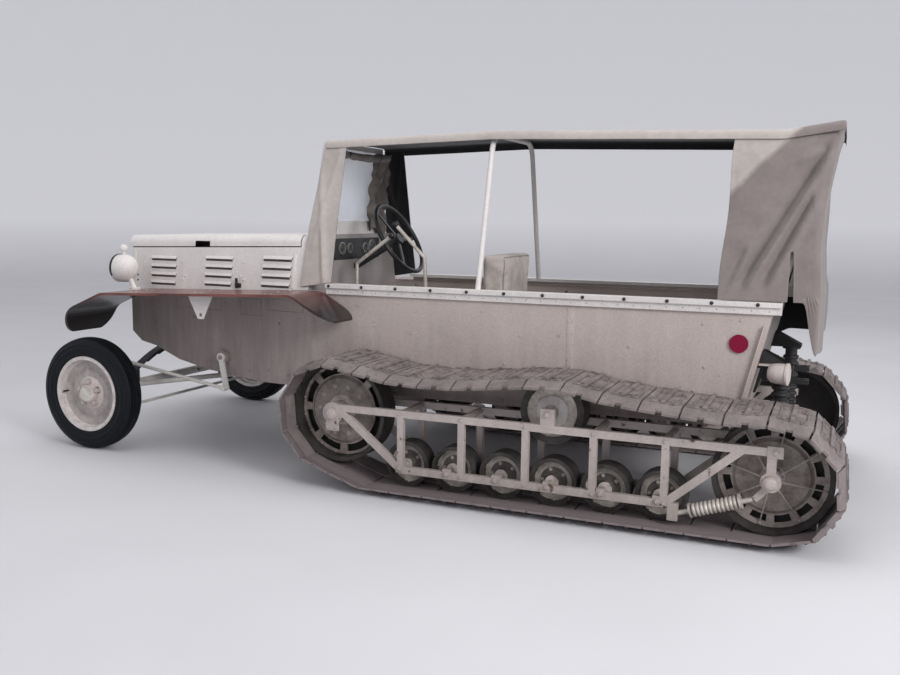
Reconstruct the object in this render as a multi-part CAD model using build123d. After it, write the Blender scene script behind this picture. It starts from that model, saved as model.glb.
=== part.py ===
"""Half-track snow tractor: a narrow open tub hull with a full track along each side, a louvred
bonnet, two steered disc wheels ahead, plywood fenders and an open-sided canvas top.
Millimetres.  X points forward, Y to the left, Z up.  The origin is on the ground, at the centre
of the overall box."""
import os
from math import acos, asin, atan2, ceil, cos, degrees, hypot, pi, radians, sin, tan
from build123d import *

# Overall size and the wheels that set its ends.
LENGTH = 3454
WIDTH = 1600
TYRE_R = 257
SHEET = 3            # hull and bonnet plate
SEAT_GAP = 0.3       # between a piece and what it rests on
PIN_GAP = 0.06       # radial clearance of a pin in its bore
FRONT_AXLE_X = LENGTH / 2 - TYRE_R
IDLER_X = 236 - LENGTH / 2

# Widths, from the outer edge of the tracks inwards.
TRACK_OUT = WIDTH / 2
SHOE_LENGTH = 358
TRACK_IN = TRACK_OUT - SHOE_LENGTH
HULL_HALF = TRACK_IN - 7
NOSE_HALF = HULL_HALF - 95
HALF_TREAD = TRACK_OUT - 159
KINGPIN_Y = HALF_TREAD - 96

# Hull tub: side profile, taper and rail.
TAPER_X = 430        # the sides run parallel behind this station
NOSE_X = FRONT_AXLE_X + 20
FLOOR_Z = 332
TAIL_TOP_X = IDLER_X + 39
TAIL_RAKE = 100
SIDE_TOP_Z = 757
NOSE_SIDE_TOP_Z = SIDE_TOP_Z - 45
# Belly line ahead of the flat floor: distance behind the nose, height above the floor.
BELLY = ((790, 0), (479, 29), (298, 63), (150, 118), (60, 134), (0, 180))
COWL_X = 505
RAIL_FRONT_X = COWL_X - 161
RAIL_REAR_X = TAIL_TOP_X - 28
RAIL_TOP_Z = SIDE_TOP_Z + 31
RAIL_HEIGHT = 42
RAIL_DEPTH = 22
RAIL_INSIDE = 44
HUMP = {"x0": 40, "x1": 290, "half": 125, "headroom": 16}     # floor box over the differential

# Bonnet.
COWL_DEPTH = 60
HOOD_STEP = 4.6      # the bonnet sides stand this far inside the tub sides
HOOD_LEAN_NOSE = 0.05
LID_TOP_COWL_Z = SIDE_TOP_Z + 235
LID_TOP_NOSE_Z = LID_TOP_COWL_Z - 18
SEAM_NOSE_Z = LID_TOP_NOSE_Z - 57
SEAM_COWL_Z = LID_TOP_COWL_Z - 52
SHOULDER_R = 42
LID_GAP = 5
LID_LIP = 15         # how far the lid stands over the nose
# Louvre groups: distance of the group's front and rear end behind the nose.
LOUVRE_GROUPS = ((125, 283), (458, 618), (787, 945))
LOUVRES = {"rows": 4, "pitch": 38, "height": 13, "drop": 42, "depth": 8, "plate": 1.5}
HANDHOLE = {"front": 389, "rear": 477, "height": 26}
GRILLE = {"edge": 125, "low": NOSE_SIDE_TOP_Z - 127, "rows": 12, "pitch": 26, "slot": 14, "rib": 8}
RADIATOR = {"edge": 110, "low": NOSE_SIDE_TOP_Z - 152, "high": NOSE_SIDE_TOP_Z + 193, "depth": 55}
HINGE_Y = (120 - NOSE_HALF, NOSE_HALF - 120)
HINGE_PIN_R = 4
HINGE_R = 8
HINGE_HALF = 20
ENGINE = {"rear": 145, "length": 470, "half": 150, "sump": 45, "top": LID_TOP_COWL_Z - 112}

# Top: bows, windscreen and canvas lie in side planes that lean inwards.
LEAN = 0.245
# Stations of the canvas top: x, height, how far the valance flares.
TOP_FRONT_Z = SIDE_TOP_Z + 646
TOP = {"front": (COWL_X - 69, TOP_FRONT_Z, 0), "bow": (-330, TOP_FRONT_Z + 22, 0),
       "dip": (IDLER_X + 41, TOP_FRONT_Z - 3, 0), "rear": (IDLER_X - 154, TOP_FRONT_Z + 25, 12)}
CANVAS = 4
VALANCE = 36
TOP_CORNER_R = 30
BOW_R = 11
BOW_CORNER_R = 85
BOW_INSET = 28
REAR_BOW_FOOT = IDLER_X + 29
REAR_BOW_TOP = IDLER_X - 125
SCREEN_FOOT_X = COWL_X - 33
SCREEN_TOP_X = COWL_X - 59
SCREEN_FRAME = 22
SCREEN_SILL = 60
GLASS = 5
STRIP_REAR_X = COWL_X - 177
STRIP_LAP_X = COWL_X - 153    # ahead of this the strips hang down over the cowl
STRIP_FOOT_Z = SIDE_TOP_Z + 9
CURTAIN_FRONT_X = IDLER_X + 225
CURTAIN_REAR_X = IDLER_X - 113
CURTAIN_FOOT_Z = SIDE_TOP_Z - 151

# Seats, steering column and levers.
SEAT_BASE_Z = FLOOR_Z + 88
CUSHION = 95
DRIVER_SEAT = {"rear": -350, "front": 120, "half": 190, "back_top": SIDE_TOP_Z + 180}
REAR_SEAT = {"rear": TAIL_TOP_X + 117, "front": TAIL_TOP_X + 617, "half": 190, "back_top": SIDE_TOP_Z + 19}
WHEEL_CENTRE = (COWL_X - 290, 0, SIDE_TOP_Z + 218)
WHEEL_RIM_R = 170
COLUMN_FOOT_Z = SIDE_TOP_Z + 85
COLUMN_R = 17
LEVER_R = 8
LEVER_Y = 215
# Levers: x of the foot, then x and height over the tub side of the bend and of the grip.
LEVERS = ((COWL_X - 175, (COWL_X - 185, 109), (COWL_X - 357, 235)), (-40, (-9, 143), (131, 283)))

# Front wheels, axle and steering.
RIM_R = 173
RIM_HALF = 44
TYRE_WIDTH = 99
KINGPIN_R = 9
SPINDLE_R = 14
AXLE_TUBE_R = 20
BOSS_R = 22
BOSS_HALF = 44
EAR = 13
EAR_GAP = 1.5
STEER_ARM = 120
TIE_PIN_R = 7
TIE_EYE = 18
DRAG_ARM = 70
DRAG_ARM_Z = TYRE_R + 148
DRAG_ARM_PLATE = 12
BALL_GAP = 0.6       # between the drag link's bosses and its arms
PITMAN_X = FRONT_AXLE_X - 558
PITMAN_Z = FLOOR_Z + 98
PITMAN_DROP = 138
PITMAN_RAKE = 25
PITMAN_SHAFT_R = 10
ROD_REAR_X = FRONT_AXLE_X - 485
SPRING = {"half": KINGPIN_Y - 145, "leaf": 6.5, "width": 45, "end": TYRE_R + 73, "crown": FLOOR_Z + 116}

# Fenders: x and height along the board's top line, from its rear tip to its front tip.
FENDER_T = 11
FENDER_BEND_R = 90
FENDER_END_R = 105
FENDER_IN_GAP = 6
FENDER_OUT_NOSE = HALF_TREAD + 21
FENDER_OUT_REAR = TRACK_OUT - 110
FENDER_LINE = ((189, SIDE_TOP_Z - 102), (375, SIDE_TOP_Z), (FRONT_AXLE_X - 82, 2 * TYRE_R + 208),
               (FRONT_AXLE_X + 115, 2 * TYRE_R + 126), (FRONT_AXLE_X + 162, 2 * TYRE_R + 16))
BRACKET = {"x": 880, "half": 66, "foot": 14, "drop": 104, "hole_r": 8, "plate": 5}
LAMP = {"x": FRONT_AXLE_X - 38, "side": 105, "height": 101, "r": 65, "lens_r": 57.5}

# Tracks: shoes, belts, and the wheels inside them.
SHOE_T = 8
BELT_T = 6
GROUSER = 8
GROUSER_WIDTH = 14
SHOE_PITCH = 139
SHOE_GAP = 7
LIP = {"width": 60, "drop": 20, "notch": 22, "notch_depth": 16}
FRAME_Y = TRACK_OUT - 95
FRAME_INNER_Y = FRAME_Y - 200
BELTS = ((FRAME_Y - 213, FRAME_Y - 143), (FRAME_Y - 35, FRAME_Y + 35))
SPROCKET = {"x": 162, "z": 296, "r": 205.5, "y0": FRAME_Y - 141, "y1": FRAME_Y - 37}
IDLER = {"x": IDLER_X, "z": 217, "r": 198.3, "y0": FRAME_Y - 141, "y1": FRAME_Y - 53}
ROLLER = {"x": IDLER_X + 767, "z": 374, "r": 120, "y0": FRAME_Y - 141, "y1": FRAME_Y - 45}
ROAD = {"r": 90, "apart": 12, "front": -134, "rear": IDLER_X + 367, "y0": FRAME_Y - 135,
        "y1": FRAME_Y - 60}
# Belt line of the upper run, before and behind the return roller: x, z.
RUN_AHEAD = ((SPROCKET["x"] - 302, 455), ((SPROCKET["x"] + ROLLER["x"]) / 2 - 89, 459),
             (ROLLER["x"] + 124, 482))
RUN_BEHIND = ((ROLLER["x"] - 136, 468), (ROLLER["x"] - 361, 444), (IDLER_X + 161, 424))
# The slack run round the idler: centre and clearance of the shoes' pitch line.
REAR_BEND = {"x": IDLER_X - 18, "z": 221, "r": 196}

# Track frames.
FRAME_BAR = 20
RAIL_BAR = 28
UPRIGHT_BAR = 26
FRAME_TOP_Z = 320
FRAME_LOW_Z = 100
UPRIGHTS = {"count": 5, "front": -137, "rear": IDLER_X + 345}
CROSS_TUBE_R = 13
HUB_R = 44
PIVOT_R = 34
WHEEL_PIN_R = 12
DRIVE_TUBE_R = 34
DIFFERENTIAL_R = 100
REAR_TUBE_R = 24
TENSIONER = {"start": (IDLER_X + 313, 66), "end": (IDLER_X + 29, 160), "rod_r": 9, "coil_r": 24, "coils": 11,
             "pitch": 14, "cup": 2, "lead": 60, "tail": 26}

# Tail fittings.
REAR_SPRING = {"y": HULL_HALF - 105, "x": IDLER_X + 7, "shelf": SIDE_TOP_Z - 212, "r": 34, "pitch": 26}
HITCH = {"z": SIDE_TOP_Z - 282, "pin_r": 13, "plate_half": 90, "plate_drop": 70, "barrel_r": 36, "jaw": 34,
         "mouth": 18, "reach": 155}
REFLECTOR = {"x": TAIL_TOP_X + 111, "z": SIDE_TOP_Z - 120, "r": 33, "t": 7}


def side_prism(points, y0, y1):
    """A prism along Y with an outline of (x, z) points."""
    face = make_face(Polyline([(x, y0, z) for x, z in points], close=True))
    return extrude(face, amount=y1 - y0, dir=(0, 1, 0))


def plan_prism(points, z0, z1):
    """A prism along Z with an outline of (x, y) points."""
    face = make_face(Polyline([(x, y, z0) for x, y in points], close=True))
    return extrude(face, amount=z1 - z0, dir=(0, 0, 1))


def cross_prism(points, x0, x1):
    """A prism along X with an outline of (y, z) points."""
    face = make_face(Polyline([(x0, y, z) for y, z in points], close=True))
    return extrude(face, amount=x1 - x0, dir=(1, 0, 0))


def block(x0, x1, y0, y1, z0, z1):
    return Pos((x0 + x1) / 2, (y0 + y1) / 2, (z0 + z1) / 2) * Box(x1 - x0, y1 - y0, z1 - z0)


def rod(start, end, radius):
    """A round bar from one point to another."""
    axis = Vector(*end) - Vector(*start)
    return Plane(origin=start, z_dir=axis) * Cylinder(
        radius, axis.length, align=(Align.CENTER, Align.CENTER, Align.MIN))


def bar(start, end, height, y0, y1):
    """A flat-sided bar between two (x, z) points, height wide, from y0 to y1."""
    run = hypot(end[0] - start[0], end[1] - start[1])
    nx = -(end[1] - start[1]) / run * height / 2
    nz = (end[0] - start[0]) / run * height / 2
    return side_prism([(start[0] + nx, start[1] + nz), (end[0] + nx, end[1] + nz),
                       (end[0] - nx, end[1] - nz), (start[0] - nx, start[1] - nz)], y0, y1)


def turned(profile, axis=Axis.Y):
    """A solid of revolution about an axis through the origin, from (radius, place) points.
    A point with a third value True is the middle of an arc between its neighbours."""
    edges = []
    points = list(profile) + [profile[0]]
    i = 0
    along = {"Y": lambda r, t: (r, t, 0), "X": lambda r, t: (t, r, 0), "Z": lambda r, t: (r, 0, t)}
    name = {1: "Y"}.get(round(axis.direction.Y)) or {1: "X"}.get(round(axis.direction.X), "Z")
    place = along[name]
    while i < len(points) - 1:
        if len(points[i + 1]) == 3:
            edges.append(ThreePointArc(*[place(*point[:2]) for point in points[i:i + 3]]))
            i += 2
        else:
            edges.append(Line(place(*points[i][:2]), place(*points[i + 1][:2])))
            i += 1
    return revolve(make_face(edges), axis)


def other_side(shape):
    return mirror(shape, about=Plane.XZ)


def spread(first, last, count):
    """Evenly spaced stations."""
    return [first + (last - first) * i / (count - 1) for i in range(count)]


def half_width(x):
    """Outer half width of the tub at a station."""
    if x <= TAPER_X:
        return HULL_HALF
    return HULL_HALF + (NOSE_HALF - HULL_HALF) * (x - TAPER_X) / (NOSE_X - TAPER_X)


def side_top(x):
    """Height of the joint between tub side and bonnet side at a station."""
    return SIDE_TOP_Z + (NOSE_SIDE_TOP_Z - SIDE_TOP_Z) * (x - TAPER_X) / (NOSE_X - TAPER_X)


def hood_half(x, z):
    """Outer half width of the bonnet, whose sides lean inwards more towards the cowl."""
    lean = LEAN + (HOOD_LEAN_NOSE - LEAN) * (x - TAPER_X) / (NOSE_X - TAPER_X)
    return half_width(x) - HOOD_STEP - lean * (z - side_top(x))


def lean_y(z):
    """Half width of the canvas side planes at a height."""
    return HULL_HALF - LEAN * (z - SIDE_TOP_Z)


belly = [(NOSE_X - back, FLOOR_Z + rise) for back, rise in BELLY]


def floor_top(x):
    """Height of the inner face of the belly plate at a station."""
    for (x0, z0), (x1, z1) in zip(belly, belly[1:]):
        if x0 <= x <= x1:
            return z0 + (z1 - z0) * (x - x0) / (x1 - x0) + SHEET
    return FLOOR_Z + SHEET


def tail_x(z):
    """Station of the outer face of the sloping tail panel at a height."""
    return TAIL_TOP_X + (SIDE_TOP_Z - z) * TAIL_RAKE / (SIDE_TOP_Z - FLOOR_Z)


# Hull: two sides, belly, tail and nose, each its own panel.
tail_foot = (tail_x(FLOOR_Z), FLOOR_Z)
side_outline = [tail_foot] + belly
side_outline += [(NOSE_X, NOSE_SIDE_TOP_Z), (TAPER_X, SIDE_TOP_Z), (TAIL_TOP_X, SIDE_TOP_Z)]
TAIL_END = TAIL_TOP_X - 20
wall_strip = [(TAIL_END, HULL_HALF), (TAPER_X, HULL_HALF), (NOSE_X, NOSE_HALF), (NOSE_X, NOSE_HALF - SHEET),
              (TAPER_X, HULL_HALF - SHEET), (TAIL_END, HULL_HALF - SHEET)]
hull_side = plan_prism(wall_strip, 0, 2 * SIDE_TOP_Z) & side_prism(side_outline, 0, HULL_HALF + 10)

plan_left = [(TAIL_END, HULL_HALF - SHEET), (TAPER_X, HULL_HALF - SHEET), (NOSE_X, NOSE_HALF - SHEET)]
inner_plan = plan_prism(plan_left + [(x, -y) for x, y in reversed(plan_left)], 0, 2 * SIDE_TOP_Z)
belly_line = [tail_foot] + belly
hull_floor = side_prism(belly_line + [(x, z + SHEET) for x, z in reversed(belly_line)],
                        -HULL_HALF, HULL_HALF) & inner_plan
hump = [HUMP["x0"], HUMP["x1"], -HUMP["half"], HUMP["half"]]
hump_hollow = [HUMP["x0"] + SHEET, HUMP["x1"] - SHEET, SHEET - HUMP["half"], HUMP["half"] - SHEET]
hump_top = SPROCKET["z"] + DIFFERENTIAL_R + HUMP["headroom"] + SHEET
hull_floor += block(*hump, FLOOR_Z, hump_top)
hull_floor -= block(*hump_hollow, FLOOR_Z - 1, hump_top - SHEET)

tail_low, tail_high = FLOOR_Z + SHEET, SIDE_TOP_Z
hull_tail = side_prism([(tail_x(tail_low), tail_low), (tail_x(tail_high), tail_high),
                        (tail_x(tail_high) + SHEET, tail_high), (tail_x(tail_low) + SHEET, tail_low)],
                       -HULL_HALF, HULL_HALF) & inner_plan

nose_top = SEAM_NOSE_Z + 25
nose_foot = belly[-1][1] + SHEET
nose_edge = [(NOSE_HALF - SHEET, nose_foot), (NOSE_HALF - SHEET, NOSE_SIDE_TOP_Z),
             (hood_half(NOSE_X, NOSE_SIDE_TOP_Z) - SHEET - 2 * SEAT_GAP, NOSE_SIDE_TOP_Z),
             (hood_half(NOSE_X, nose_top) - SHEET - 3 * SEAT_GAP, nose_top)]
hull_nose = cross_prism(nose_edge + [(-y, z) for y, z in reversed(nose_edge)], NOSE_X - SHEET, NOSE_X)
for row in range(GRILLE["rows"]):
    z = GRILLE["low"] + row * GRILLE["pitch"]
    for s in (-1, 1):
        a, b = sorted((s * GRILLE["rib"], s * (NOSE_HALF - GRILLE["edge"])))
        hull_nose -= block(NOSE_X - 2 * SHEET, NOSE_X + 1, a, b, z, z + GRILLE["slot"])

# Radiator and engine.
radiator_half = NOSE_HALF - RADIATOR["edge"]
radiator = block(NOSE_X - SHEET - RADIATOR["depth"], NOSE_X - SHEET - SEAT_GAP, -radiator_half, radiator_half,
                 RADIATOR["low"], RADIATOR["high"])
engine_x = COWL_X + ENGINE["rear"]
engine_front = engine_x + ENGINE["length"]
engine_low = floor_top(engine_front) + ENGINE["sump"]
engine_block = block(engine_x, engine_front, -ENGINE["half"], ENGINE["half"], engine_low, ENGINE["top"])
for x in (engine_x + 10, engine_front - 60):
    for s in (-1, 1):
        y = s * (ENGINE["half"] - 20)
        engine_block += block(x, x + 50, y - 20, y + 20, floor_top(x + 50) + SEAT_GAP, engine_low + 10)


# Bonnet: one leaning, tapering shell, parted into lid, sides and cowl.
def seam_z(x):
    return SEAM_NOSE_Z + (SEAM_COWL_Z - SEAM_NOSE_Z) * (NOSE_X - x) / (NOSE_X - COWL_X)


def lid_top(x):
    share = min(1, (NOSE_X - x) / (NOSE_X - COWL_X))
    return LID_TOP_NOSE_Z + (LID_TOP_COWL_Z - LID_TOP_NOSE_Z) * share


def bonnet_section(x, inset, foot):
    """Cross-section of the bonnet at a station: leaning sides, round shoulders, flat top."""
    top = lid_top(x) - inset
    r = SHOULDER_R - inset
    wide = hood_half(x, foot) - inset
    w = hood_half(x, top - r) - inset
    s = r * sin(pi / 4)
    right = ThreePointArc((x, w, top - r), (x, w - r + s, top - r + s), (x, w - r, top))
    left = ThreePointArc((x, r - w, top), (x, r - w - s, top - r + s), (x, -w, top - r))
    return make_face([Line((x, -wide, foot), (x, wide, foot)), Line((x, wide, foot), (x, w, top - r)), right,
                      Line((x, w - r, top), (x, r - w, top)), left, Line((x, -w, top - r), (x, -wide, foot))])


def bonnet_form(inset, x0, x1, foot=NOSE_SIDE_TOP_Z - 62):
    return loft([bonnet_section(x0, inset, foot), bonnet_section(x1, inset, foot)], ruled=True)


def under_line(height, lift):
    """Everything below a line along the bonnet, such as its seam."""
    ends = (0, NOSE_X + 100)
    return side_prism([(ends[0], FLOOR_Z), (ends[0], height(ends[0]) + lift),
                       (ends[1], height(ends[1]) + lift), (ends[1], FLOOR_Z)], -WIDTH / 2, WIDTH / 2)


LID_NOSE_X = NOSE_X + LID_LIP
LID_REAR_X = COWL_X + 6
INNER_FOOT = NOSE_SIDE_TOP_Z - 72    # the shell's hollow starts below its own foot
shell = bonnet_form(0, COWL_X, LID_NOSE_X) - bonnet_form(SHEET, COWL_X - 1, LID_NOSE_X - SHEET, INNER_FOOT)
lid_box = block(LID_REAR_X, LID_NOSE_X + 1, -WIDTH / 2, WIDTH / 2, SIDE_TOP_Z, LID_TOP_COWL_Z + 1)
hood_lid = (shell - under_line(seam_z, LID_GAP / 2)) & lid_box
hole_x = (NOSE_X - HANDHOLE["rear"], NOSE_X - HANDHOLE["front"])
for s in (1, -1):
    y = s * hood_half(hole_x[0], seam_z(hole_x[0]))
    hood_lid -= block(*hole_x, y - 40, y + 40, seam_z(hole_x[0]) - 20, seam_z(hole_x[0]) + HANDHOLE["height"])
# Two hinge knuckles on the rear edge of the lid turn on pins carried by the cowl.
hinge_z = LID_TOP_COWL_Z - 9
hinge_x = COWL_X - 6
leaf_top = lid_top(LID_REAR_X + HINGE_R) - SHEET
for y in HINGE_Y:
    hood_lid += (Pos(hinge_x, y, hinge_z) * Rot(90, 0, 0) * Cylinder(HINGE_R, 2 * HINGE_HALF)
                 + block(hinge_x, LID_REAR_X + HINGE_R, y - HINGE_HALF, y + HINGE_HALF, leaf_top - 5,
                         leaf_top + 0.5))
    hood_lid -= Pos(hinge_x, y, hinge_z) * Rot(90, 0, 0) * Cylinder(HINGE_PIN_R + PIN_GAP, 60)

bulkhead_x = COWL_X - COWL_DEPTH
arch = bonnet_form(0, bulkhead_x, COWL_X) - bonnet_form(SHEET, bulkhead_x - 1, COWL_X + 1, INNER_FOOT)
bulkhead = bonnet_form(SHEET / 2, bulkhead_x, bulkhead_x + SHEET) - under_line(side_top, SEAT_GAP)
cowl_low = block(bulkhead_x, bulkhead_x + SHEET, -HULL_HALF, HULL_HALF, FLOOR_Z + SHEET,
                 side_top(bulkhead_x) + 1) & inner_plan
cowl = (arch - under_line(side_top, SEAT_GAP)) + bulkhead + cowl_low
for y in HINGE_Y:
    cowl -= block(hinge_x - 12, COWL_X + 2, y - 24, y + 24, hinge_z - 14, LID_TOP_COWL_Z + 1)
    for s in (-1, 1):
        cheek = y + s * (HINGE_HALF + 6)
        cowl += block(bulkhead_x + SHEET / 2, COWL_X, cheek - 3, cheek + 3, hinge_z - 14,
                      LID_TOP_COWL_Z - SHEET / 2)
    cowl += Pos(hinge_x, y, hinge_z) * Rot(90, 0, 0) * Cylinder(HINGE_PIN_R, 2 * HINGE_HALF + 14)

# Bonnet sides, with pressed louvres: a slot below each sloping blade.
def louvre_section(x, high, low):
    """Cross-section of a louvre's blade at a station, from its root down to its lip."""
    root = hood_half(x, high) - SHEET + 0.5
    lip = hood_half(x, low) + LOUVRES["depth"]
    return make_face(Polyline([(x, root, high + 1), (x, hood_half(x, high), high + 2), (x, lip, low + 1),
                               (x, lip - LOUVRES["plate"], low), (x, root, high - 1)], close=True))


hood_side = shell & block(COWL_X + 1, NOSE_X, 0, WIDTH / 2, FLOOR_Z, LID_TOP_COWL_Z)
hood_side = (hood_side - under_line(side_top, SEAT_GAP)) & under_line(seam_z, -LID_GAP / 2)
for front, rear in LOUVRE_GROUPS:
    x0, x1 = NOSE_X - rear, NOSE_X - front
    if x0 < COWL_X + SHOULDER_R / 2:
        continue
    for row in range(LOUVRES["rows"]):
        z = seam_z((x0 + x1) / 2) - LOUVRES["drop"] - row * LOUVRES["pitch"]
        low = z - LOUVRES["height"]
        hood_side -= block(x0, x1, NOSE_HALF / 2, HULL_HALF + 10, low, z)
        hood_side += loft([louvre_section(x, z, low) for x in (x0 + 1, x1 - 1)], ruled=True)

# Side rails along the top of the open tub.
r0, r1 = HULL_HALF - RAIL_INSIDE, HULL_HALF + RAIL_DEPTH
rail_step, rail_foot = RAIL_TOP_Z - 16, RAIL_TOP_Z - RAIL_HEIGHT
side_rail = cross_prism([(r0, rail_step + 2), (r0, RAIL_TOP_Z), (r1, RAIL_TOP_Z), (r1, rail_step),
                         (HULL_HALF + 12, rail_step), (HULL_HALF + 12, rail_foot), (HULL_HALF, rail_foot),
                         (HULL_HALF, SIDE_TOP_Z), (HULL_HALF - SHEET, SIDE_TOP_Z),
                         (HULL_HALF - SHEET, rail_step + 2)], RAIL_REAR_X, RAIL_FRONT_X)

# Windscreen.
screen_top_z = TOP["front"][1] - CANVAS - SEAT_GAP
screen_foot_z = LID_TOP_COWL_Z + SEAT_GAP


def screen_slab(thickness):
    """The windscreen's plane, as a plate from the cowl to the canvas."""
    rake = (SCREEN_TOP_X - SCREEN_FOOT_X) / (screen_top_z - screen_foot_z)
    return side_prism([(SCREEN_FOOT_X + rake * (z - screen_foot_z) + s * thickness / 2, z) for z, s in
                       ((screen_foot_z, -1), (screen_foot_z, 1), (screen_top_z, 1), (screen_top_z, -1))],
                      -WIDTH / 2, WIDTH / 2)


def screen_outline(inset, sill):
    """The windscreen's outline seen from ahead, drawn in by inset and above a sill."""
    foot = hood_half(COWL_X, LID_TOP_COWL_Z - SHOULDER_R) - SHOULDER_R
    top = lean_y(screen_top_z) - 14
    low = screen_foot_z + sill
    narrow = foot + (top - foot) * sill / (screen_top_z - screen_foot_z)
    return cross_prism([(inset - narrow, low), (narrow - inset, low), (top - inset, screen_top_z - inset),
                        (inset - top, screen_top_z - inset)], SCREEN_TOP_X - 150, SCREEN_FOOT_X + 150)


windscreen_frame = screen_slab(SCREEN_FRAME) & screen_outline(0, 0)
windscreen_frame -= screen_outline(SCREEN_FRAME, SCREEN_SILL)
windscreen_glass = screen_slab(GLASS) & screen_outline(SCREEN_FRAME + SEAT_GAP, SCREEN_SILL + SEAT_GAP)


# Roof bows: one bent tube each, from rail to rail.
def bow(foot_x, crown_z):
    foot = RAIL_TOP_Z - 8
    half_foot = HULL_HALF - BOW_INSET
    half_crown = lean_y(crown_z) - BOW_INSET + 4
    path = FilletPolyline((foot_x, -half_foot, foot), (foot_x, -half_crown, crown_z),
                          (foot_x, half_crown, crown_z), (foot_x, half_foot, foot), radius=BOW_CORNER_R)
    return sweep(Plane(origin=path @ 0, z_dir=path % 0) * Circle(BOW_R), path=path)


def roof_z(x):
    """Outer height of the canvas top at a station."""
    stations = list(TOP.values())
    for (x0, z0, _), (x1, z1, _) in zip(stations, stations[1:]):
        if x1 <= x <= x0:
            return z0 + (z1 - z0) * (x0 - x) / (x0 - x1)
    return stations[-1][1]


under_rail_top = block(-LENGTH, LENGTH, -WIDTH, WIDTH, 0, RAIL_TOP_Z + SEAT_GAP)
bow_drop = CANVAS + (BOW_R + SEAT_GAP) * 1.02
mid_bow = bow(TOP["bow"][0], TOP["bow"][1] - CANVAS - BOW_R - SEAT_GAP) - under_rail_top
rear_height = roof_z(REAR_BOW_TOP) - bow_drop
rear_lean = atan2(REAR_BOW_FOOT - REAR_BOW_TOP, rear_height - RAIL_TOP_Z)
rear_leg = hypot(REAR_BOW_FOOT - REAR_BOW_TOP, rear_height - RAIL_TOP_Z)
rear_bow = (Pos(REAR_BOW_FOOT, 0, RAIL_TOP_Z) * Rot(0, -degrees(rear_lean), 0) * Pos(0, 0, -RAIL_TOP_Z)
            * bow(0, RAIL_TOP_Z + rear_leg)) - under_rail_top


# Canvas top: a band with rounded edges and a short valance, open at both ends.
def roof_half(key):
    _, z, flare = TOP[key]
    return lean_y(z - VALANCE) + CANVAS + 2.5 + flare


def roof_face(key, inset, hang):
    """Closed cross-section of the top at a station, drawn in by inset, hanging down to hang."""
    x, z, _ = TOP[key]
    w = roof_half(key) - inset
    t = z - inset
    r = TOP_CORNER_R - inset
    s = sin(pi / 4) * r
    foot = z - hang
    return make_face([Line((x, -w, foot), (x, w, foot)), Line((x, w, foot), (x, w, t - r)),
                      ThreePointArc((x, w, t - r), (x, w - r + s, t - r + s), (x, w - r, t)),
                      Line((x, w - r, t), (x, r - w, t)),
                      ThreePointArc((x, r - w, t), (x, r - w - s, t - r + s), (x, -w, t - r)),
                      Line((x, -w, t - r), (x, -w, foot))])


def roof_span(a, b, inset, hang):
    return loft([roof_face(a, inset, hang), roof_face(b, inset, hang)])


spans = (("front", "bow"), ("bow", "dip"), ("dip", "rear"))
canvas_roof = None
for a, b in spans:
    span = roof_span(a, b, 0, VALANCE) - roof_span(a, b, CANVAS, VALANCE + 10)
    canvas_roof = span if canvas_roof is None else canvas_roof + span


def above_valance(a, b):
    """Everything above the lower edge of the valance along one span."""
    (xa, za, _), (xb, zb, _) = TOP[a], TOP[b]
    return side_prism([(xa, za - VALANCE - 2), (xa, za + 100), (xb, zb + 100), (xb, zb - VALANCE - 2)],
                      -WIDTH / 2, WIDTH / 2)


# Canvas strips beside the windscreen, in the leaning side planes, lapped over the cowl.
def leaning_sheet(outline):
    low, high = SIDE_TOP_Z - 50, TOP_FRONT_Z + 100
    slab = cross_prism([(lean_y(z) - d, z) for z, d in ((low, 0), (high, 0), (high, CANVAS), (low, CANVAS))],
                       -LENGTH / 2, LENGTH / 2)
    return slab & side_prism(outline, 0, WIDTH / 2)


rail_seat = RAIL_TOP_Z + SEAT_GAP
strip_top = TOP["front"][1] - CANVAS - 8
strip = leaning_sheet([(STRIP_REAR_X, rail_seat), (STRIP_LAP_X, rail_seat), (STRIP_LAP_X, STRIP_FOOT_Z),
                       (SCREEN_FOOT_X + 9, STRIP_FOOT_Z), (SCREEN_FOOT_X + 1, LID_TOP_COWL_Z + 29),
                       (TOP["front"][0], strip_top), (STRIP_REAR_X, strip_top)])


# Rear canvas: two side panels and the hanging rear curtain, open to the front.
def curtain_section(z, rear_x):
    y = lean_y(z)
    outer = [(CURTAIN_FRONT_X, y), (rear_x, y), (rear_x, -y), (CURTAIN_FRONT_X, -y)]
    inner = [(CURTAIN_FRONT_X, CANVAS - y), (rear_x + CANVAS, CANVAS - y), (rear_x + CANVAS, y - CANVAS),
             (CURTAIN_FRONT_X, y - CANVAS)]
    return make_face(Polyline([(x, q, z) for x, q in outer + inner], close=True))


canvas_rear = loft([curtain_section(rail_seat, CURTAIN_REAR_X),
                    curtain_section(TOP_FRONT_Z + 37, CURTAIN_REAR_X - 36)])
for a, b in spans[1:]:
    canvas_rear = canvas_rear - (above_valance(a, b) - roof_span(a, b, CANVAS + SEAT_GAP, VALANCE + 5))
canvas_rear = canvas_rear + block(CURTAIN_REAR_X, CURTAIN_REAR_X + CANVAS, -HULL_HALF + 4, HULL_HALF - 4,
                                  CURTAIN_FOOT_Z, rail_seat + 1)


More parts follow.
